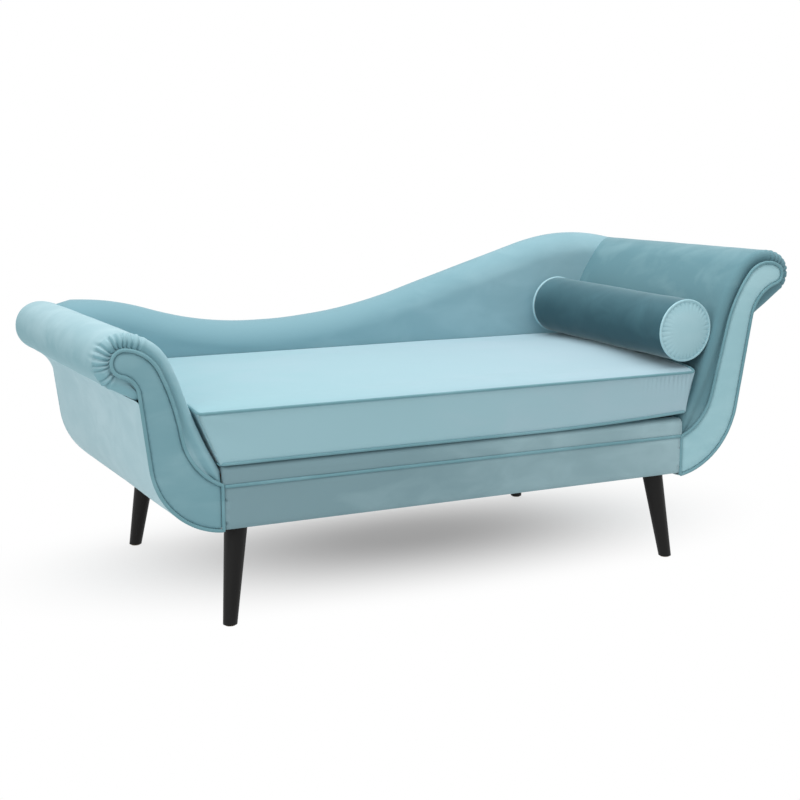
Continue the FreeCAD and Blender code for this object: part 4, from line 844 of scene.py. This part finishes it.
# Front rail cover
# Two strips of velvet over wadding on the front rail, with a piping sewn between
# them. The upper strip turns over the front edge of the deck as a soft nosing.
RAIL_FACE = FRONT + 2.5
RAIL_WOOD = FRONT + 12.0
SEAM = 279.0
NOSE = 13.0
TOP_OF_DECK = 318.0
RAIL_X0, RAIL_X1 = RAIL_LEFT + 3.8, RAIL_RIGHT - 3.8
STRIP_REAR = FRONT + 34.0
LOWEST = 195.0
# The pile lies flat and dull at the low end and is brushed lighter towards the high one
rail_velvet = velvet("velvet_rail", "#809EA6", "#A6C4CB", brushed=0.35, drift=(0.9, 0, 0.5))


def along_rail(name, profile, material, lively, reach):
    """profile is a loop of (y, z, how far it may move); the strip swells and dips along the rail."""
    xs = np.linspace(RAIL_X0 - reach, RAIL_X1 + reach, 110)
    rings = []
    for x in xs:
        end = min(1.0, (x - xs[0]) / 12, (xs[-1] - x) / 12)
        ring = []
        for y, z, free in profile:
            move = free * end * (0.5 + ripple(x, y, z, 130, 3.0) + lively * ripple(x, y, z, 28, 8.0))
            ring.append((x, y - move, z))
        rings.append(ring)
    return loft(name, rings, material)


nose = [(RAIL_FACE + NOSE * (1 - math.cos(a)), TOP_OF_DECK - NOSE * (1 - math.sin(a)), 0.3)
        for a in np.radians(np.linspace(90, 0, 9))]
face = [(RAIL_FACE, z, 1.2) for z in np.linspace(TOP_OF_DECK - NOSE - 3, SEAM + 6, 5)]
upper = [(STRIP_REAR, TOP_OF_DECK, 0.0), (FRONT + 24.0, TOP_OF_DECK, 0.0)] + nose + face
upper += [(RAIL_FACE + 0.8, SEAM + 3.4, 0.4), (RAIL_FACE + 3.0, SEAM + 1.4, 0.0),
          (RAIL_WOOD - 0.2, SEAM + 1.2, 0.0), (RAIL_WOOD - 0.2, 300.0, 0.0), (STRIP_REAR, 307.0, 0.0)]
face = [(RAIL_FACE, z, 1.5) for z in np.linspace(SEAM - 7, 203, 12)]
lower = [(RAIL_WOOD - 0.2, SEAM - 1.2, 0.0), (RAIL_FACE + 3.0, SEAM - 1.4, 0.0),
         (RAIL_FACE + 0.8, SEAM - 3.4, 0.4)] + face
lower += [(RAIL_FACE + 0.7, LOWEST + 2.5, 0.3), (RAIL_FACE + 3.0, LOWEST + 0.2, 0.0),
          (RAIL_WOOD + 4.0, LOWEST, 0.0), (RAIL_WOOD + 4.0, LOWEST + 2.8, 0.0),
          (RAIL_WOOD - 0.2, LOWEST + 3.0, 0.0)]
for name, profile, node, reach in (("rail_upper_strip", upper, "rail_upper_cover", 3.6),
                                   ("rail_lower_strip", lower, "rail_lower_cover", 0.0)):
    strip = along_rail(name, profile, rail_velvet, 0.25, reach)
    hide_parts(node)
    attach(strip, "frame")
cord = [(x, FRONT + PIPING, SEAM) for x in np.arange(RAIL_X0, RAIL_X1, 3.0)]
welt = tube("rail_welt", cord, PIPING, piping_velvet)
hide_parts("rail_piping")
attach(welt, "frame")


# Deck
# Under the loose cushion: foam on the springs under a plain black platform cloth,
# which sinks a little between its stitched edges.
DECK_SINK, DECK_EDGE = 1.3, 30.0
THREADS = 900.0
# A close plain weave, matt and nearly black; its threads are drawn coarser than the real ones
platform_cloth = bpy.data.materials.new("woven_platform_cloth")
platform_cloth.use_nodes = True
tree = platform_cloth.node_tree
place = add(tree, "ShaderNodeTexCoord")
weave = add(tree, "ShaderNodeTexChecker", {"Vector": place.outputs["Object"]}, Scale=THREADS)
shade = add(tree, "ShaderNodeMix", {"Factor": weave.outputs["Fac"]}, data_type="RGBA")
shade.inputs[6].default_value = srgb("#3A3D40")
shade.inputs[7].default_value = srgb("#45494C")
relief = add(tree, "ShaderNodeBump", {"Height": weave.outputs["Fac"]}, Strength=0.15, Distance=0.0003)
shader = tree.nodes["Principled BSDF"]
tree.links.new(shade.outputs[2], shader.inputs["Base Color"])
tree.links.new(relief.outputs[0], shader.inputs["Normal"])
shader.inputs["Roughness"].default_value = 0.9



def box_of(node):
    """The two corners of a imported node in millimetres: x0, y0, z0, x1, y1, z1."""
    low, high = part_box(node)
    return [c / MM for c in (*low, *high)]


x0, y0, z0, x1, y1, _ = box_of("deck_foam")
rings = []
for x in np.linspace(x0, x1, 90):
    top, under = [], []
    for y in np.linspace(y0, y1, 60):
        edge = min(DECK_EDGE, x - x0, x1 - x, y - y0, y1 - y) / DECK_EDGE
        sink = DECK_SINK * edge * (0.6 + ripple(x, y, 0, 110, 6.0))
        top.append((x, y, TOP_OF_DECK - 0.1 - sink))
        under.append((x, y, z0))
    rings.append(top + under[::-1])
deck = loft("deck_pad", rings, platform_cloth)
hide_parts("deck_foam", "deck_cover")
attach(deck, "frame")


# Dust cover
# A thin black non-woven cloth stapled under the frame, cut out round the leg
# plates. It hangs a few millimetres between the rails.
SAG_EDGE = 60.0
PLATE_WIDTH = 71.0
GRID = 12.0


def plain_material(name, colour, roughness, metallic=0.0):
    made = bpy.data.materials.new(name)
    made.use_nodes = True
    shader = made.node_tree.nodes["Principled BSDF"]
    shader.inputs["Base Color"].default_value = srgb(colour)
    shader.inputs["Roughness"].default_value = roughness
    shader.inputs["Metallic"].default_value = metallic
    return made


# Pressed polypropylene fibre: flat, black and without any shine
dust_cloth = plain_material("black_nonwoven_cloth", "#26282A", 0.95)
x0, y0, _, x1, y1, ztop = box_of("dust_cover")
plates = box_of("leg_plates")
plate_x0, plate_y0 = plates[0] + PLATE_WIDTH, plates[1] + PLATE_WIDTH
plate_x1, plate_y1 = plates[3] - PLATE_WIDTH, plates[4] - PLATE_WIDTH
xs = np.unique(np.concatenate([[x0, x1, plate_x0, plate_x1], np.arange(x0 + 6, x1 - 6, GRID)]))
ys = np.unique(np.concatenate([[y0, y1, plate_y0, plate_y1], np.arange(y0 + 6, y1 - 6, GRID)]))
index, points = {}, []
for i, x in enumerate(xs):
    for j, y in enumerate(ys):
        edge = max(0.0, min(SAG_EDGE, x - x0, x1 - x, y - y0, y1 - y) / SAG_EDGE)
        at_plate = (x <= plate_x0 or x >= plate_x1) and (y <= plate_y0 or y >= plate_y1)
        sag = 0.0 if at_plate else edge * (1.2 + 0.8 * ripple(x, y, 0, 160, 4.0))
        index[i, j] = len(points)
        points.append((x, y, ztop - 0.6 - sag - 0.2 * ripple(x, y, 0, 45, 1.0)))
faces = []
for i in range(len(xs) - 1):
    for j in range(len(ys) - 1):
        x, y = (xs[i] + xs[i + 1]) / 2, (ys[j] + ys[j + 1]) / 2
        if (x < plate_x0 or x > plate_x1) and (y < plate_y0 or y > plate_y1):
            continue
        faces.append((index[i, j], index[i + 1, j], index[i + 1, j + 1], index[i, j + 1]))
used = sorted({v for f in faces for v in f})
renumber = {v: k for k, v in enumerate(used)}
faces = [tuple(renumber[v] for v in f) for f in faces]
sheet = soft_object("dust_sheet", [points[v] for v in used], faces, dust_cloth)
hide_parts("dust_cover")
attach(sheet, "frame")


# Staples of the dust cover
# Small flat staples of zinc-plated wire at equal steps along the edges of the cloth,
# shot through it into the rails.
STAPLE_STEP = 42.0
STAPLE_SIZE = (10.0, 1.0, 0.7)
STAPLE_INSET, PLATE_GAP = 6.0, 5.0
# Zinc plating: a bright metal whose fine crystals break up its shine
steel = plain_material("zinc_plated_steel", "#B9BCBE", 0.4, metallic=1.0)
tree = steel.node_tree
place = add(tree, "ShaderNodeTexCoord")
spangle = add(tree, "ShaderNodeTexNoise", {"Vector": place.outputs["Object"]}, Scale=260.0, Detail=3.0)
rough = add(tree, "ShaderNodeMapRange", {"Value": spangle.outputs["Fac"]}, To_Min=0.28, To_Max=0.46)
tree.links.new(rough.outputs["Result"], tree.nodes["Principled BSDF"].inputs["Roughness"])


def repeated(name, routes, spacing, size, material, body):
    """Small blocks at equal steps along routes, made by Geometry Nodes and turned into a plain mesh."""
    mesh = bpy.data.meshes.new(name)
    verts, edges = [], []
    for route in routes:
        first = len(verts)
        verts += [(p[0] * MM, p[1] * MM, p[2] * MM) for p in route]
        edges += [(first + k, first + k + 1) for k in range(len(route) - 1)]
    mesh.from_pydata(verts, edges, [])
    piece = shown(name, mesh)
    tree = bpy.data.node_groups.new(name + "_maker", "GeometryNodeTree")
    tree.interface.new_socket("Geometry", in_out="INPUT", socket_type="NodeSocketGeometry")
    step = tree.interface.new_socket("Spacing", in_out="INPUT", socket_type="NodeSocketFloat")
    block = tree.interface.new_socket("Block size", in_out="INPUT", socket_type="NodeSocketVector")
    tree.interface.new_socket("Geometry", in_out="OUTPUT", socket_type="NodeSocketGeometry")
    given = add(tree, "NodeGroupInput")
    curve = add(tree, "GeometryNodeMeshToCurve", {"Mesh": given.outputs["Geometry"]})
    dots = add(tree, "GeometryNodeCurveToPoints",
               {"Curve": curve.outputs[0], "Length": given.outputs["Spacing"]}, mode="LENGTH")
    turn = add(tree, "FunctionNodeAlignRotationToVector", {"Vector": dots.outputs["Tangent"]}, axis="X")
    cube = add(tree, "GeometryNodeMeshCube", {"Size": given.outputs["Block size"]})
    copies = add(tree, "GeometryNodeInstanceOnPoints",
                 {"Points": dots.outputs["Points"], "Instance": cube.outputs["Mesh"],
                  "Rotation": turn.outputs["Rotation"]})
    real = add(tree, "GeometryNodeRealizeInstances", {"Geometry": copies.outputs["Instances"]})
    painted = add(tree, "GeometryNodeSetMaterial", {"Geometry": real.outputs["Geometry"]})
    painted.inputs["Material"].default_value = material
    add(tree, "NodeGroupOutput", {"Geometry": painted.outputs["Geometry"]})
    modifier = piece.modifiers.new("repeat", "NODES")
    modifier.node_group = tree
    modifier[step.identifier] = spacing * MM
    modifier[block.identifier] = [c * MM for c in size]
    done = bpy.data.meshes.new_from_object(piece.evaluated_get(bpy.context.evaluated_depsgraph_get()))
    piece.modifiers.remove(modifier)
    piece.data = done
    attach(piece, body)
    return piece


z = ztop - 1.5
routes = [[(plate_x0 + PLATE_GAP, y, z), (plate_x1 - PLATE_GAP, y, z)]
          for y in (y0 + STAPLE_INSET, y1 - STAPLE_INSET)]
routes += [[(x, plate_y0 + PLATE_GAP, z), (x, plate_y1 - PLATE_GAP, z)]
           for x in (x0 + STAPLE_INSET, x1 - STAPLE_INSET)]
staples = repeated("staples", routes, STAPLE_STEP, STAPLE_SIZE, steel, "frame")


# Seat cushion
# A loose cushion: foam in a boxed velvet cover with a crowned top. It is widest at
# the rear and at the right, where its cover is eased into short puckers.
CUSHION_BOTTOM = TOP_OF_DECK + 0.3
CUSHION_EDGE = 3.0
FRONT_HEIGHT, REAR_HEIGHT = 105.0, 128.0
CROWN, END_CROWN, CROWN_POWER = 20.0, 17.0, 10
EDGE_RADIUS, EDGE_HEADING = 90.0, 24.0
FRONT_PULL, REAR_PULL = 3.0, 6.0
LIFT, LIFT_START = 12.0, 0.62
TOP_REACH = 35.0
PUCKER_STEP, PUCKER_FROM = 11.5, 0.86
CORNER_SHARE, CORNER_FOLD = 0.10, 3.5
PUFF = 3.0
# The top is coloured lighter where it faces up, and the boxing a little where it faces the front, as painted
# highlight; the boxing below it is duller and turns lighter to the right
cushion_velvet_painted_light = velvet("velvet_cushion", "#9DC3CC", "#ABC6D1", brushed=0.3, lean=(0, -0.12, 0.50),
                        drift=(1.0, 0, 0))


def pad_reach(arm, z):
    """How far the stuffed inside of an arm stands from the rail's end at a height."""
    base = pad_face(arm)[0]
    return base[1][0] + math.sqrt(base[2] ** 2 - (z - base[1][1]) ** 2)


def cushion_section(share, inset):
    """Sizes of the cushion's cross-section at a share of its length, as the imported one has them."""
    raised = LIFT * max(0.0, (share - LIFT_START) / (1 - LIFT_START)) ** 2
    left_height = REAR_HEIGHT + END_CROWN / 2
    left_low = RAIL_LEFT - pad_reach(LEFT_ARM, CUSHION_BOTTOM) + 1.0
    left_high = RAIL_LEFT - pad_reach(LEFT_ARM, CUSHION_BOTTOM + left_height) + 1.0
    right_low = RAIL_RIGHT + pad_reach(RIGHT_ARM, CUSHION_BOTTOM + LIFT) - 1.0
    slope_left = (left_high - left_low) / left_height
    slope_right = (RAIL_RIGHT + TOP_REACH - right_low) / (FRONT_HEIGHT - LIFT)
    finish = right_low - slope_right * LIFT
    fullness = 1 - abs(2 * share - 1) ** CROWN_POWER
    return {
        "low": CUSHION_BOTTOM + raised + inset, "front_top": CUSHION_BOTTOM + FRONT_HEIGHT - inset,
        "rear_top": CUSHION_BOTTOM + REAR_HEIGHT - inset, "front": FRONT + 1.0 + inset,
        "rear": BACK_FACE - 1.0 - inset, "crown": END_CROWN + (CROWN - END_CROWN) * fullness,
        "slope": slope_left + (slope_right - slope_left) * share,
        "x": left_low + (finish - left_low) * share + inset * (1 - 2 * share),
    }


def crown_line(cut, count):
    """The top line from front to rear in (y, height along the section's own slope)."""
    lean = math.hypot(1, cut["slope"])
    front = (cut["front"], (cut["front_top"] - CUSHION_BOTTOM) * lean)
    rear = (cut["rear"], (cut["rear_top"] - CUSHION_BOTTOM) * lean)
    chord = math.dist(front, rear)
    slope = angle_of(rear, front)
    a = math.radians(EDGE_HEADING)
    half_run = chord / 2 - EDGE_RADIUS * math.sin(a)
    rise = cut["crown"] - EDGE_RADIUS * (1 - math.cos(a))
    flat = 2 * math.degrees(math.atan(rise / half_run))
    radius = EDGE_RADIUS + half_run / math.sin(math.radians(flat))
    first, heading = turn_right(front, slope + EDGE_HEADING, EDGE_RADIUS, EDGE_HEADING - flat)
    middle, heading = turn_right(ends(first)[1], heading, radius, 2 * flat)
    last, heading = turn_right(ends(middle)[1], heading, EDGE_RADIUS, EDGE_HEADING - flat)
    points, _, run = sampled([first, middle, last], 3.0)
    at = np.linspace(0, run[-1], count)
    ys, ups = np.interp(at, run, points[:, 0]), np.interp(at, run, points[:, 1])
    return [(float(y), CUSHION_BOTTOM + float(up) / lean) for y, up in zip(ys, ups)]


def cushion_place(cut, y, z):
    return (cut["x"] + cut["slope"] * (z - CUSHION_BOTTOM), y, z)


def gathered(x, share, least):
    """The wave of short puckers along a seam, strong near the right end of the cushion."""
    strong = min(1.0, max(0.0, (share - PUCKER_FROM) / 0.08)) + least
    return strong * math.sin(2 * math.pi * x / PUCKER_STEP + 1.5 * ripple(x, 0, 0, 40, 9.0))


def front_wall(cut, share, rim, parts):
    """Part of the front boxing from the bottom seam to the top one, full and puckered under the seam."""
    low, high = cut["low"], cut["front_top"]
    wall = []
    for part in parts:
        z = low + (high - low) * part
        x = cushion_place(cut, cut["front"], z)[0]
        above, below = (1 - part) * (high - low), part * (high - low)
        puff = (3.4 + 2.2 * ripple(x, -50, z, 170, 4.0)) * math.sin(math.pi * part) ** 0.7
        folded = CORNER_FOLD * max(0.0, 1 - share / CORNER_SHARE) * part
        puff += folded * math.sin((part * 2.2 + share / CORNER_SHARE * 1.4) * math.pi)
        puff += 2.4 * gathered(x, share, 0.10) * math.exp(-(above / 26.0) ** 2) * min(1.0, (1 - part) * 14)
        puff -= 1.6 * (math.exp(-above / 4.0) + math.exp(-below / 4.0))
        wall.append((cut["front"] + FRONT_PULL * (1 - (2 * part - 1) ** 2) - puff * rim * 0.8, z))
    return wall


def rear_wall(cut, rim, parts):
    """Part of the rear boxing, which stays hollow where the zip and its slider lie."""
    low, high = cut["low"], cut["rear_top"]
    wall = []
    for part in parts:
        z = low + (high - low) * part
        x = cushion_place(cut, cut["rear"], z)[0]
        above, below = (1 - part) * (high - low), part * (high - low)
        puff = -0.6 + 0.4 * ripple(x, 50, z, 60, 4.0)
        puff -= 1.6 * (math.exp(-above / 4.0) + math.exp(-below / 4.0))
        wall.append((cut["rear"] - REAR_PULL * (1 - (2 * part - 1) ** 2) + puff * rim * 0.8, z))
    return wall


def top_panel(cut, share, rim):
    """The crowned top from front to rear, fuller near its long seams and puckered at the right."""
    top = []
    for y, z in crown_line(cut, 74):
        x = cushion_place(cut, y, z)[0]
        from_edge = min(y - cut["front"], cut["rear"] - y)
        lift = 1.8 * ripple(x, y, 0, 230, 12.0) + 0.7 * ripple(x, y, 0, 80, 5.0)
        lift += PUFF * math.exp(-((from_edge - 34) / 30) ** 2)
        lift -= PUFF * 0.6 * math.exp(-(min(share, 1 - share) * 30) ** 2)
        lift *= min(1.0, from_edge / 60)
        pucker = 0.9 * gathered(x, share, 0.08) * math.exp(-(from_edge / 16.0) ** 2) * min(1.0, from_edge / 5)
        top.append((y, z + (lift + pucker - 2.2 * math.exp(-from_edge / 5.0)) * rim))
    return top


shares = [np.linspace(0, 0.02, 4), np.linspace(0.02, 0.84, 84), np.linspace(0.84, 1, 60)]
rings = []
for share in np.unique(np.concatenate(shares)):
    cut = cushion_section(share, CUSHION_EDGE)
    rim = min(1.0, share / 0.01, (1 - share) / 0.01)
    ring = rear_wall(cut, rim, np.linspace(0.5, 0.0, 9)[:-1])
    ring += [(y, cut["low"] + 0.3) for y in np.linspace(cut["rear"], cut["front"], 70)][:-1]
    ring += front_wall(cut, share, rim, np.linspace(0.0, 0.5, 13)[:-1])
    ring += front_wall(cut, share, rim, np.linspace(0.5, 1.0, 13)[:-1])
    ring += top_panel(cut, share, rim)
    ring += rear_wall(cut, rim, np.linspace(1.0, 0.5, 9)[:-1])
    rings.append([cushion_place(cut, y, z) for y, z in ring])
cushion = loft("seat_cushion_pad", rings, cushion_velvet_painted_light)
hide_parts("seat_cushion_cover", "seat_cushion_foam")
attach(cushion, "seat_cushion")


# Piping of the cushion
# The same covered cord, sewn into the seams above and below the boxing. It rides
# with the cushion.
def eased(points, reach=3):
    """A closed line with its corners rounded by averaging over a few neighbours."""
    points = np.asarray(points)
    return sum(np.roll(points, k, axis=0) for k in range(-reach, reach + 1)) / (2 * reach + 1)


first, last = cushion_section(0.0, CUSHION_EDGE), cushion_section(1.0, CUSHION_EDGE)
front_corner = cushion_place(first, first["front"], first["front_top"])
right_end = [cushion_place(last, y, z) for y, z in crown_line(last, 60)]
left_end = [cushion_place(first, y, z) for y, z in crown_line(first, 60)][::-1]
top_line = eased(spaced([front_corner] + right_end + left_end, 3.0, True))
steps = [cushion_section(v, CUSHION_EDGE) for v in np.linspace(0, 1, 60)]
low_front = [cushion_place(cut, cut["front"], cut["low"]) for cut in steps]
low_rear = [cushion_place(cut, cut["rear"], cut["low"]) for cut in steps][::-1]
low_line = eased(spaced(low_front + low_rear, 3.0, True))
for name, path in (("cushion_top_welt", top_line), ("cushion_bottom_welt", low_line)):
    welt = tube(name, path, CUSHION_EDGE, piping_velvet, closed=True)
    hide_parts("seat_cushion_piping")
    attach(welt, "seat_cushion")


# Zip
# A metal zip on woven tape in the rear boxing: two rows of small teeth along the
# middle, and a slider whose pull hangs down.
TOOTH_STEP, TOOTH_SIZE, ROW_HALF = 2.6, (1.3, 0.9, 2.0), 1.1
# Nickel plating, polished by use: a bright grey metal
zip_metal = plain_material("nickel_plated_zip", "#A8A9AB", 0.32, metallic=1.0)
# Woven polyester tape, dyed to the velvet and matt
zip_tape = plain_material("woven_zip_tape", "#6F9AA4", 0.85)
x0, _, z0, x1, y1, z1 = box_of("cushion_zip")
rows = [[(x, y1 + 0.02, (z0 + z1) / 2 + dz) for x in (x0 + 6, x1 - 6)] for dz in (-ROW_HALF, ROW_HALF)]
teeth = repeated("zip_teeth", rows, TOOTH_STEP, TOOTH_SIZE, zip_metal, "seat_cushion")


# Bolster
# A loose roll at the right end: filling in a velvet tube, with piped ends whose
# round caps are gathered into short folds along the piping.
BOLSTER_BODY, BOLSTER_HALF = 67.5, 257.5
BOLSTER_TILT = math.radians(1.35)
END_FOLDS = 34
SIDES = 120
# The roll is coloured dark as painted shade, and lighter on faces turned up as a painted highlight along its
# top, with a strong sheen
bolster_velvet_painted_light = velvet("velvet_bolster", "#2F525C", "#5E8A96", sheen=0.8, brushed=0.22, lean=(0, 0, 0.30))
low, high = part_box("bolster_cover")
bolster_centre = (low + high) / 2 / MM


def bolster_place(radius, angle, along):
    """A point round the bolster's axis, which is turned to the slope of the seat."""
    across, up = radius * math.cos(angle), radius * math.sin(angle)
    c, s = math.cos(BOLSTER_TILT), math.sin(BOLSTER_TILT)
    return (bolster_centre.x + across, bolster_centre.y + along * c - up * s,
            bolster_centre.z + along * s + up * c)


def tube_swell(along, a):
    """How far the stuffed tube stands out, less its seam and the short folds at each end."""
    from_end, cx, cz = BOLSTER_HALF - abs(along), math.cos(a), math.sin(a)
    swell = 0.9 + 1.3 * ripple(60 * cx, along, 60 * cz, 110, 2.0)
    swell += 0.35 * ripple(60 * cx, along, 60 * cz, 34, 8.0)
    wander = ripple(40 * cx, 9 * math.copysign(1, along), 40 * cz, 30, 1.0)
    fold = abs(math.sin(END_FOLDS * a / 2 + wander))
    swell -= 0.7 * (1 - fold) ** 2 * math.exp(-(from_end / 16) ** 2) + 1.5 * math.exp(-from_end / 4.0)
    return swell * min(1.0, 0.3 + from_end / 40)


closed_end = [(0.5, BOLSTER_HALF - 9), (30.0, BOLSTER_HALF - 9), (BOLSTER_BODY - 5, BOLSTER_HALF - 6),
              (BOLSTER_BODY - 1.6, BOLSTER_HALF - 2.5)]
steps = [np.linspace(-BOLSTER_HALF + 3, -BOLSTER_HALF + 40, 12),
         np.linspace(-BOLSTER_HALF + 48, BOLSTER_HALF - 48, 46),
         np.linspace(BOLSTER_HALF - 40, BOLSTER_HALF - 3, 12)]
round_the_roll = [2 * math.pi * k / SIDES for k in range(SIDES)]
rings = [[bolster_place(r, a, -y) for a in round_the_roll] for r, y in closed_end]
for along in np.concatenate(steps):
    rings.append([bolster_place(BOLSTER_BODY + tube_swell(along, a), a, along) for a in round_the_roll])
rings += [[bolster_place(r, a, y) for a in round_the_roll] for r, y in reversed(closed_end)]
roll = loft("bolster_roll", rings, bolster_velvet_painted_light)
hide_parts("bolster_cover", "bolster_filling")
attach(roll, "bolster")


# Caps and piping of the bolster
# A round of velvet, domed by the filling and gathered all round into a covered cord
# of the same cloth.
CAP_RISE = 11.0
CAP_SEAM = 66.5
CAP_RADII = (0.4, 4, 9, 15, 22, 29, 36, 42, 47, 51.5, 55, 58, 60.5, 62.5, 64, 65.0)
CAP_BACKS = ((64.0, 3.0), (0.4, 5.0))
CORD = 3.0
# The caps face the light and are coloured the lightest of all, a painted highlight
cap_velvet_painted_light = velvet("velvet_bolster_cap", "#A6CED7", "#C2DFE7", brushed=0.30)


def cap_lift(radius, a, sign):
    """The cap's soft bumps, less its gathers, which run in from the seam and fade out."""
    cx, cz = math.cos(a), math.sin(a)
    fold = abs(math.sin(END_FOLDS * a / 2 + 0.9 * ripple(40 * cx, 5 * sign, 40 * cz, 26, 3.0)))
    length = 15 + 8 * ripple(45 * cx, 0, 45 * cz, 17, 6.0)
    depth = 4.2 * (1 - fold) ** 2 * math.exp(-((BOLSTER_BODY - radius) / length) ** 2)
    bumps = 0.7 * ripple(radius * cx, 0, radius * cz, 50, 4.0)
    full = 0.8 * math.sin(math.pi * radius / BOLSTER_BODY)
    return (bumps - depth + full) * min(1.0, (CAP_SEAM - radius) / 6)


round_the_cap = [math.pi * k / SIDES for k in range(2 * SIDES)]
dome = (BOLSTER_BODY ** 2 + CAP_RISE ** 2) / (2 * CAP_RISE)
for end, sign in (("front", -1), ("rear", 1)):
    rings = []
    for radius in CAP_RADII:
        rise = BOLSTER_HALF + math.sqrt(dome ** 2 - radius ** 2) - (dome - CAP_RISE)
        rings.append([bolster_place(radius, a, sign * (rise + cap_lift(radius, a, sign)))
                      for a in round_the_cap])
    for radius, depth in CAP_BACKS:
        rings.append([bolster_place(radius, a, sign * (BOLSTER_HALF - depth)) for a in round_the_cap])
    cap = loft("bolster_" + end + "_cap", rings, cap_velvet_painted_light)
    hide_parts("bolster_cover")
    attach(cap, "bolster")
    circle = [bolster_place(CAP_SEAM, a, sign * BOLSTER_HALF) for a in np.linspace(0, 2 * math.pi, 141)[:-1]]
    welt = tube("bolster_" + end + "_welt", circle, CORD, cap_velvet_painted_light, closed=True)
    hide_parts("bolster_piping")
    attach(welt, "bolster")


# Wood, board and hardware
# The frame of sawn beech and birch plywood is covered, and shows only from below.
# The four legs are turned from hardwood, stained near black, with a pale glide.
def wood(name, dark, light, stretch, roughness=0.6, grain=60.0):
    made = bpy.data.materials.new(name)
    made.use_nodes = True
    tree = made.node_tree
    place = add(tree, "ShaderNodeTexCoord")
    along = add(tree, "ShaderNodeMapping", {"Vector": place.outputs["Object"]}, Scale=stretch)
    figure = add(tree, "ShaderNodeTexNoise", {"Vector": along.outputs[0]}, Scale=grain, Detail=6.0,
                 Roughness=0.6)
    pores = add(tree, "ShaderNodeTexNoise", {"Vector": along.outputs[0]}, Scale=grain * 6, Detail=2.0)
    both = add(tree, "ShaderNodeMath", {0: figure.outputs["Fac"], 1: pores.outputs["Fac"]},
               operation="MULTIPLY_ADD")
    both.inputs[2].default_value = 0.12
    colour = add(tree, "ShaderNodeMix", {"Factor": both.outputs[0]}, data_type="RGBA")
    colour.inputs[6].default_value = srgb(dark)
    colour.inputs[7].default_value = srgb(light)
    relief = add(tree, "ShaderNodeBump", {"Height": pores.outputs["Fac"]}, Strength=0.08, Distance=0.0005)
    shader = tree.nodes["Principled BSDF"]
    tree.links.new(colour.outputs[2], shader.inputs["Base Color"])
    tree.links.new(relief.outputs[0], shader.inputs["Normal"])
    shader.inputs["Roughness"].default_value = roughness
    shader.inputs["Specular IOR Level"].default_value = 0.25
    return made


# Beech straight from the saw: pale, pinkish brown, with short flecks along the rails
beech = wood("sawn_beech", "#B98F62", "#DDBD90", (0.12, 1.0, 1.0))
# Birch plywood: paler, with its thin plies showing as lines at the edges
birch_ply = wood("birch_plywood", "#C9A777", "#E6CFA6", (1.0, 8.0, 0.15), 0.65)
# Pressed wood fibre: an even dark brown without grain
hardboard = wood("brown_hardboard", "#6B4A30", "#8A6440", (1.0, 1.0, 1.0), 0.7, 400.0)
# Turned hardwood under a near black stain, satin, with its grain just to be seen down the leg
stained = wood("black_stained_hardwood", "#060606", "#151413", (1.0, 1.0, 0.10), 0.5, 90.0)
# Moulded nylon: pale and slightly shiny
glide = plain_material("pale_nylon_glide", "#B9A98E", 0.5)
finishes = (
    (beech, "front_rail", "rear_seat_rail", "back_base_rail", "end_rails", "corner_blocks", "seat_stretchers",
     "left_arm_bars", "right_arm_bars", "back_posts"),
    (birch_ply, "left_front_arm_panel", "right_front_arm_panel", "left_rear_arm_panel",
     "right_rear_arm_panel", "back_panel", "left_facing_board", "right_facing_board"),
    (hardboard, "left_inside_arm_board", "right_inside_arm_board", "left_outside_arm_board",
     "right_outside_arm_board", "outside_back_board"),
    (stained, "front_left_leg", "front_right_leg", "rear_left_leg", "rear_right_leg"),
    (glide, "leg_glides"),
    (steel, "leg_plates", "plate_screws", "leg_bolts", "seat_springs", "spring_clips"),
    (zip_tape, "cushion_zip"),
    (zip_metal, "cushion_zip_slider"),
)
for finish, *names in finishes:
    for name in names:
        for holder in nodes[name].material_slots:
            holder.material = finish
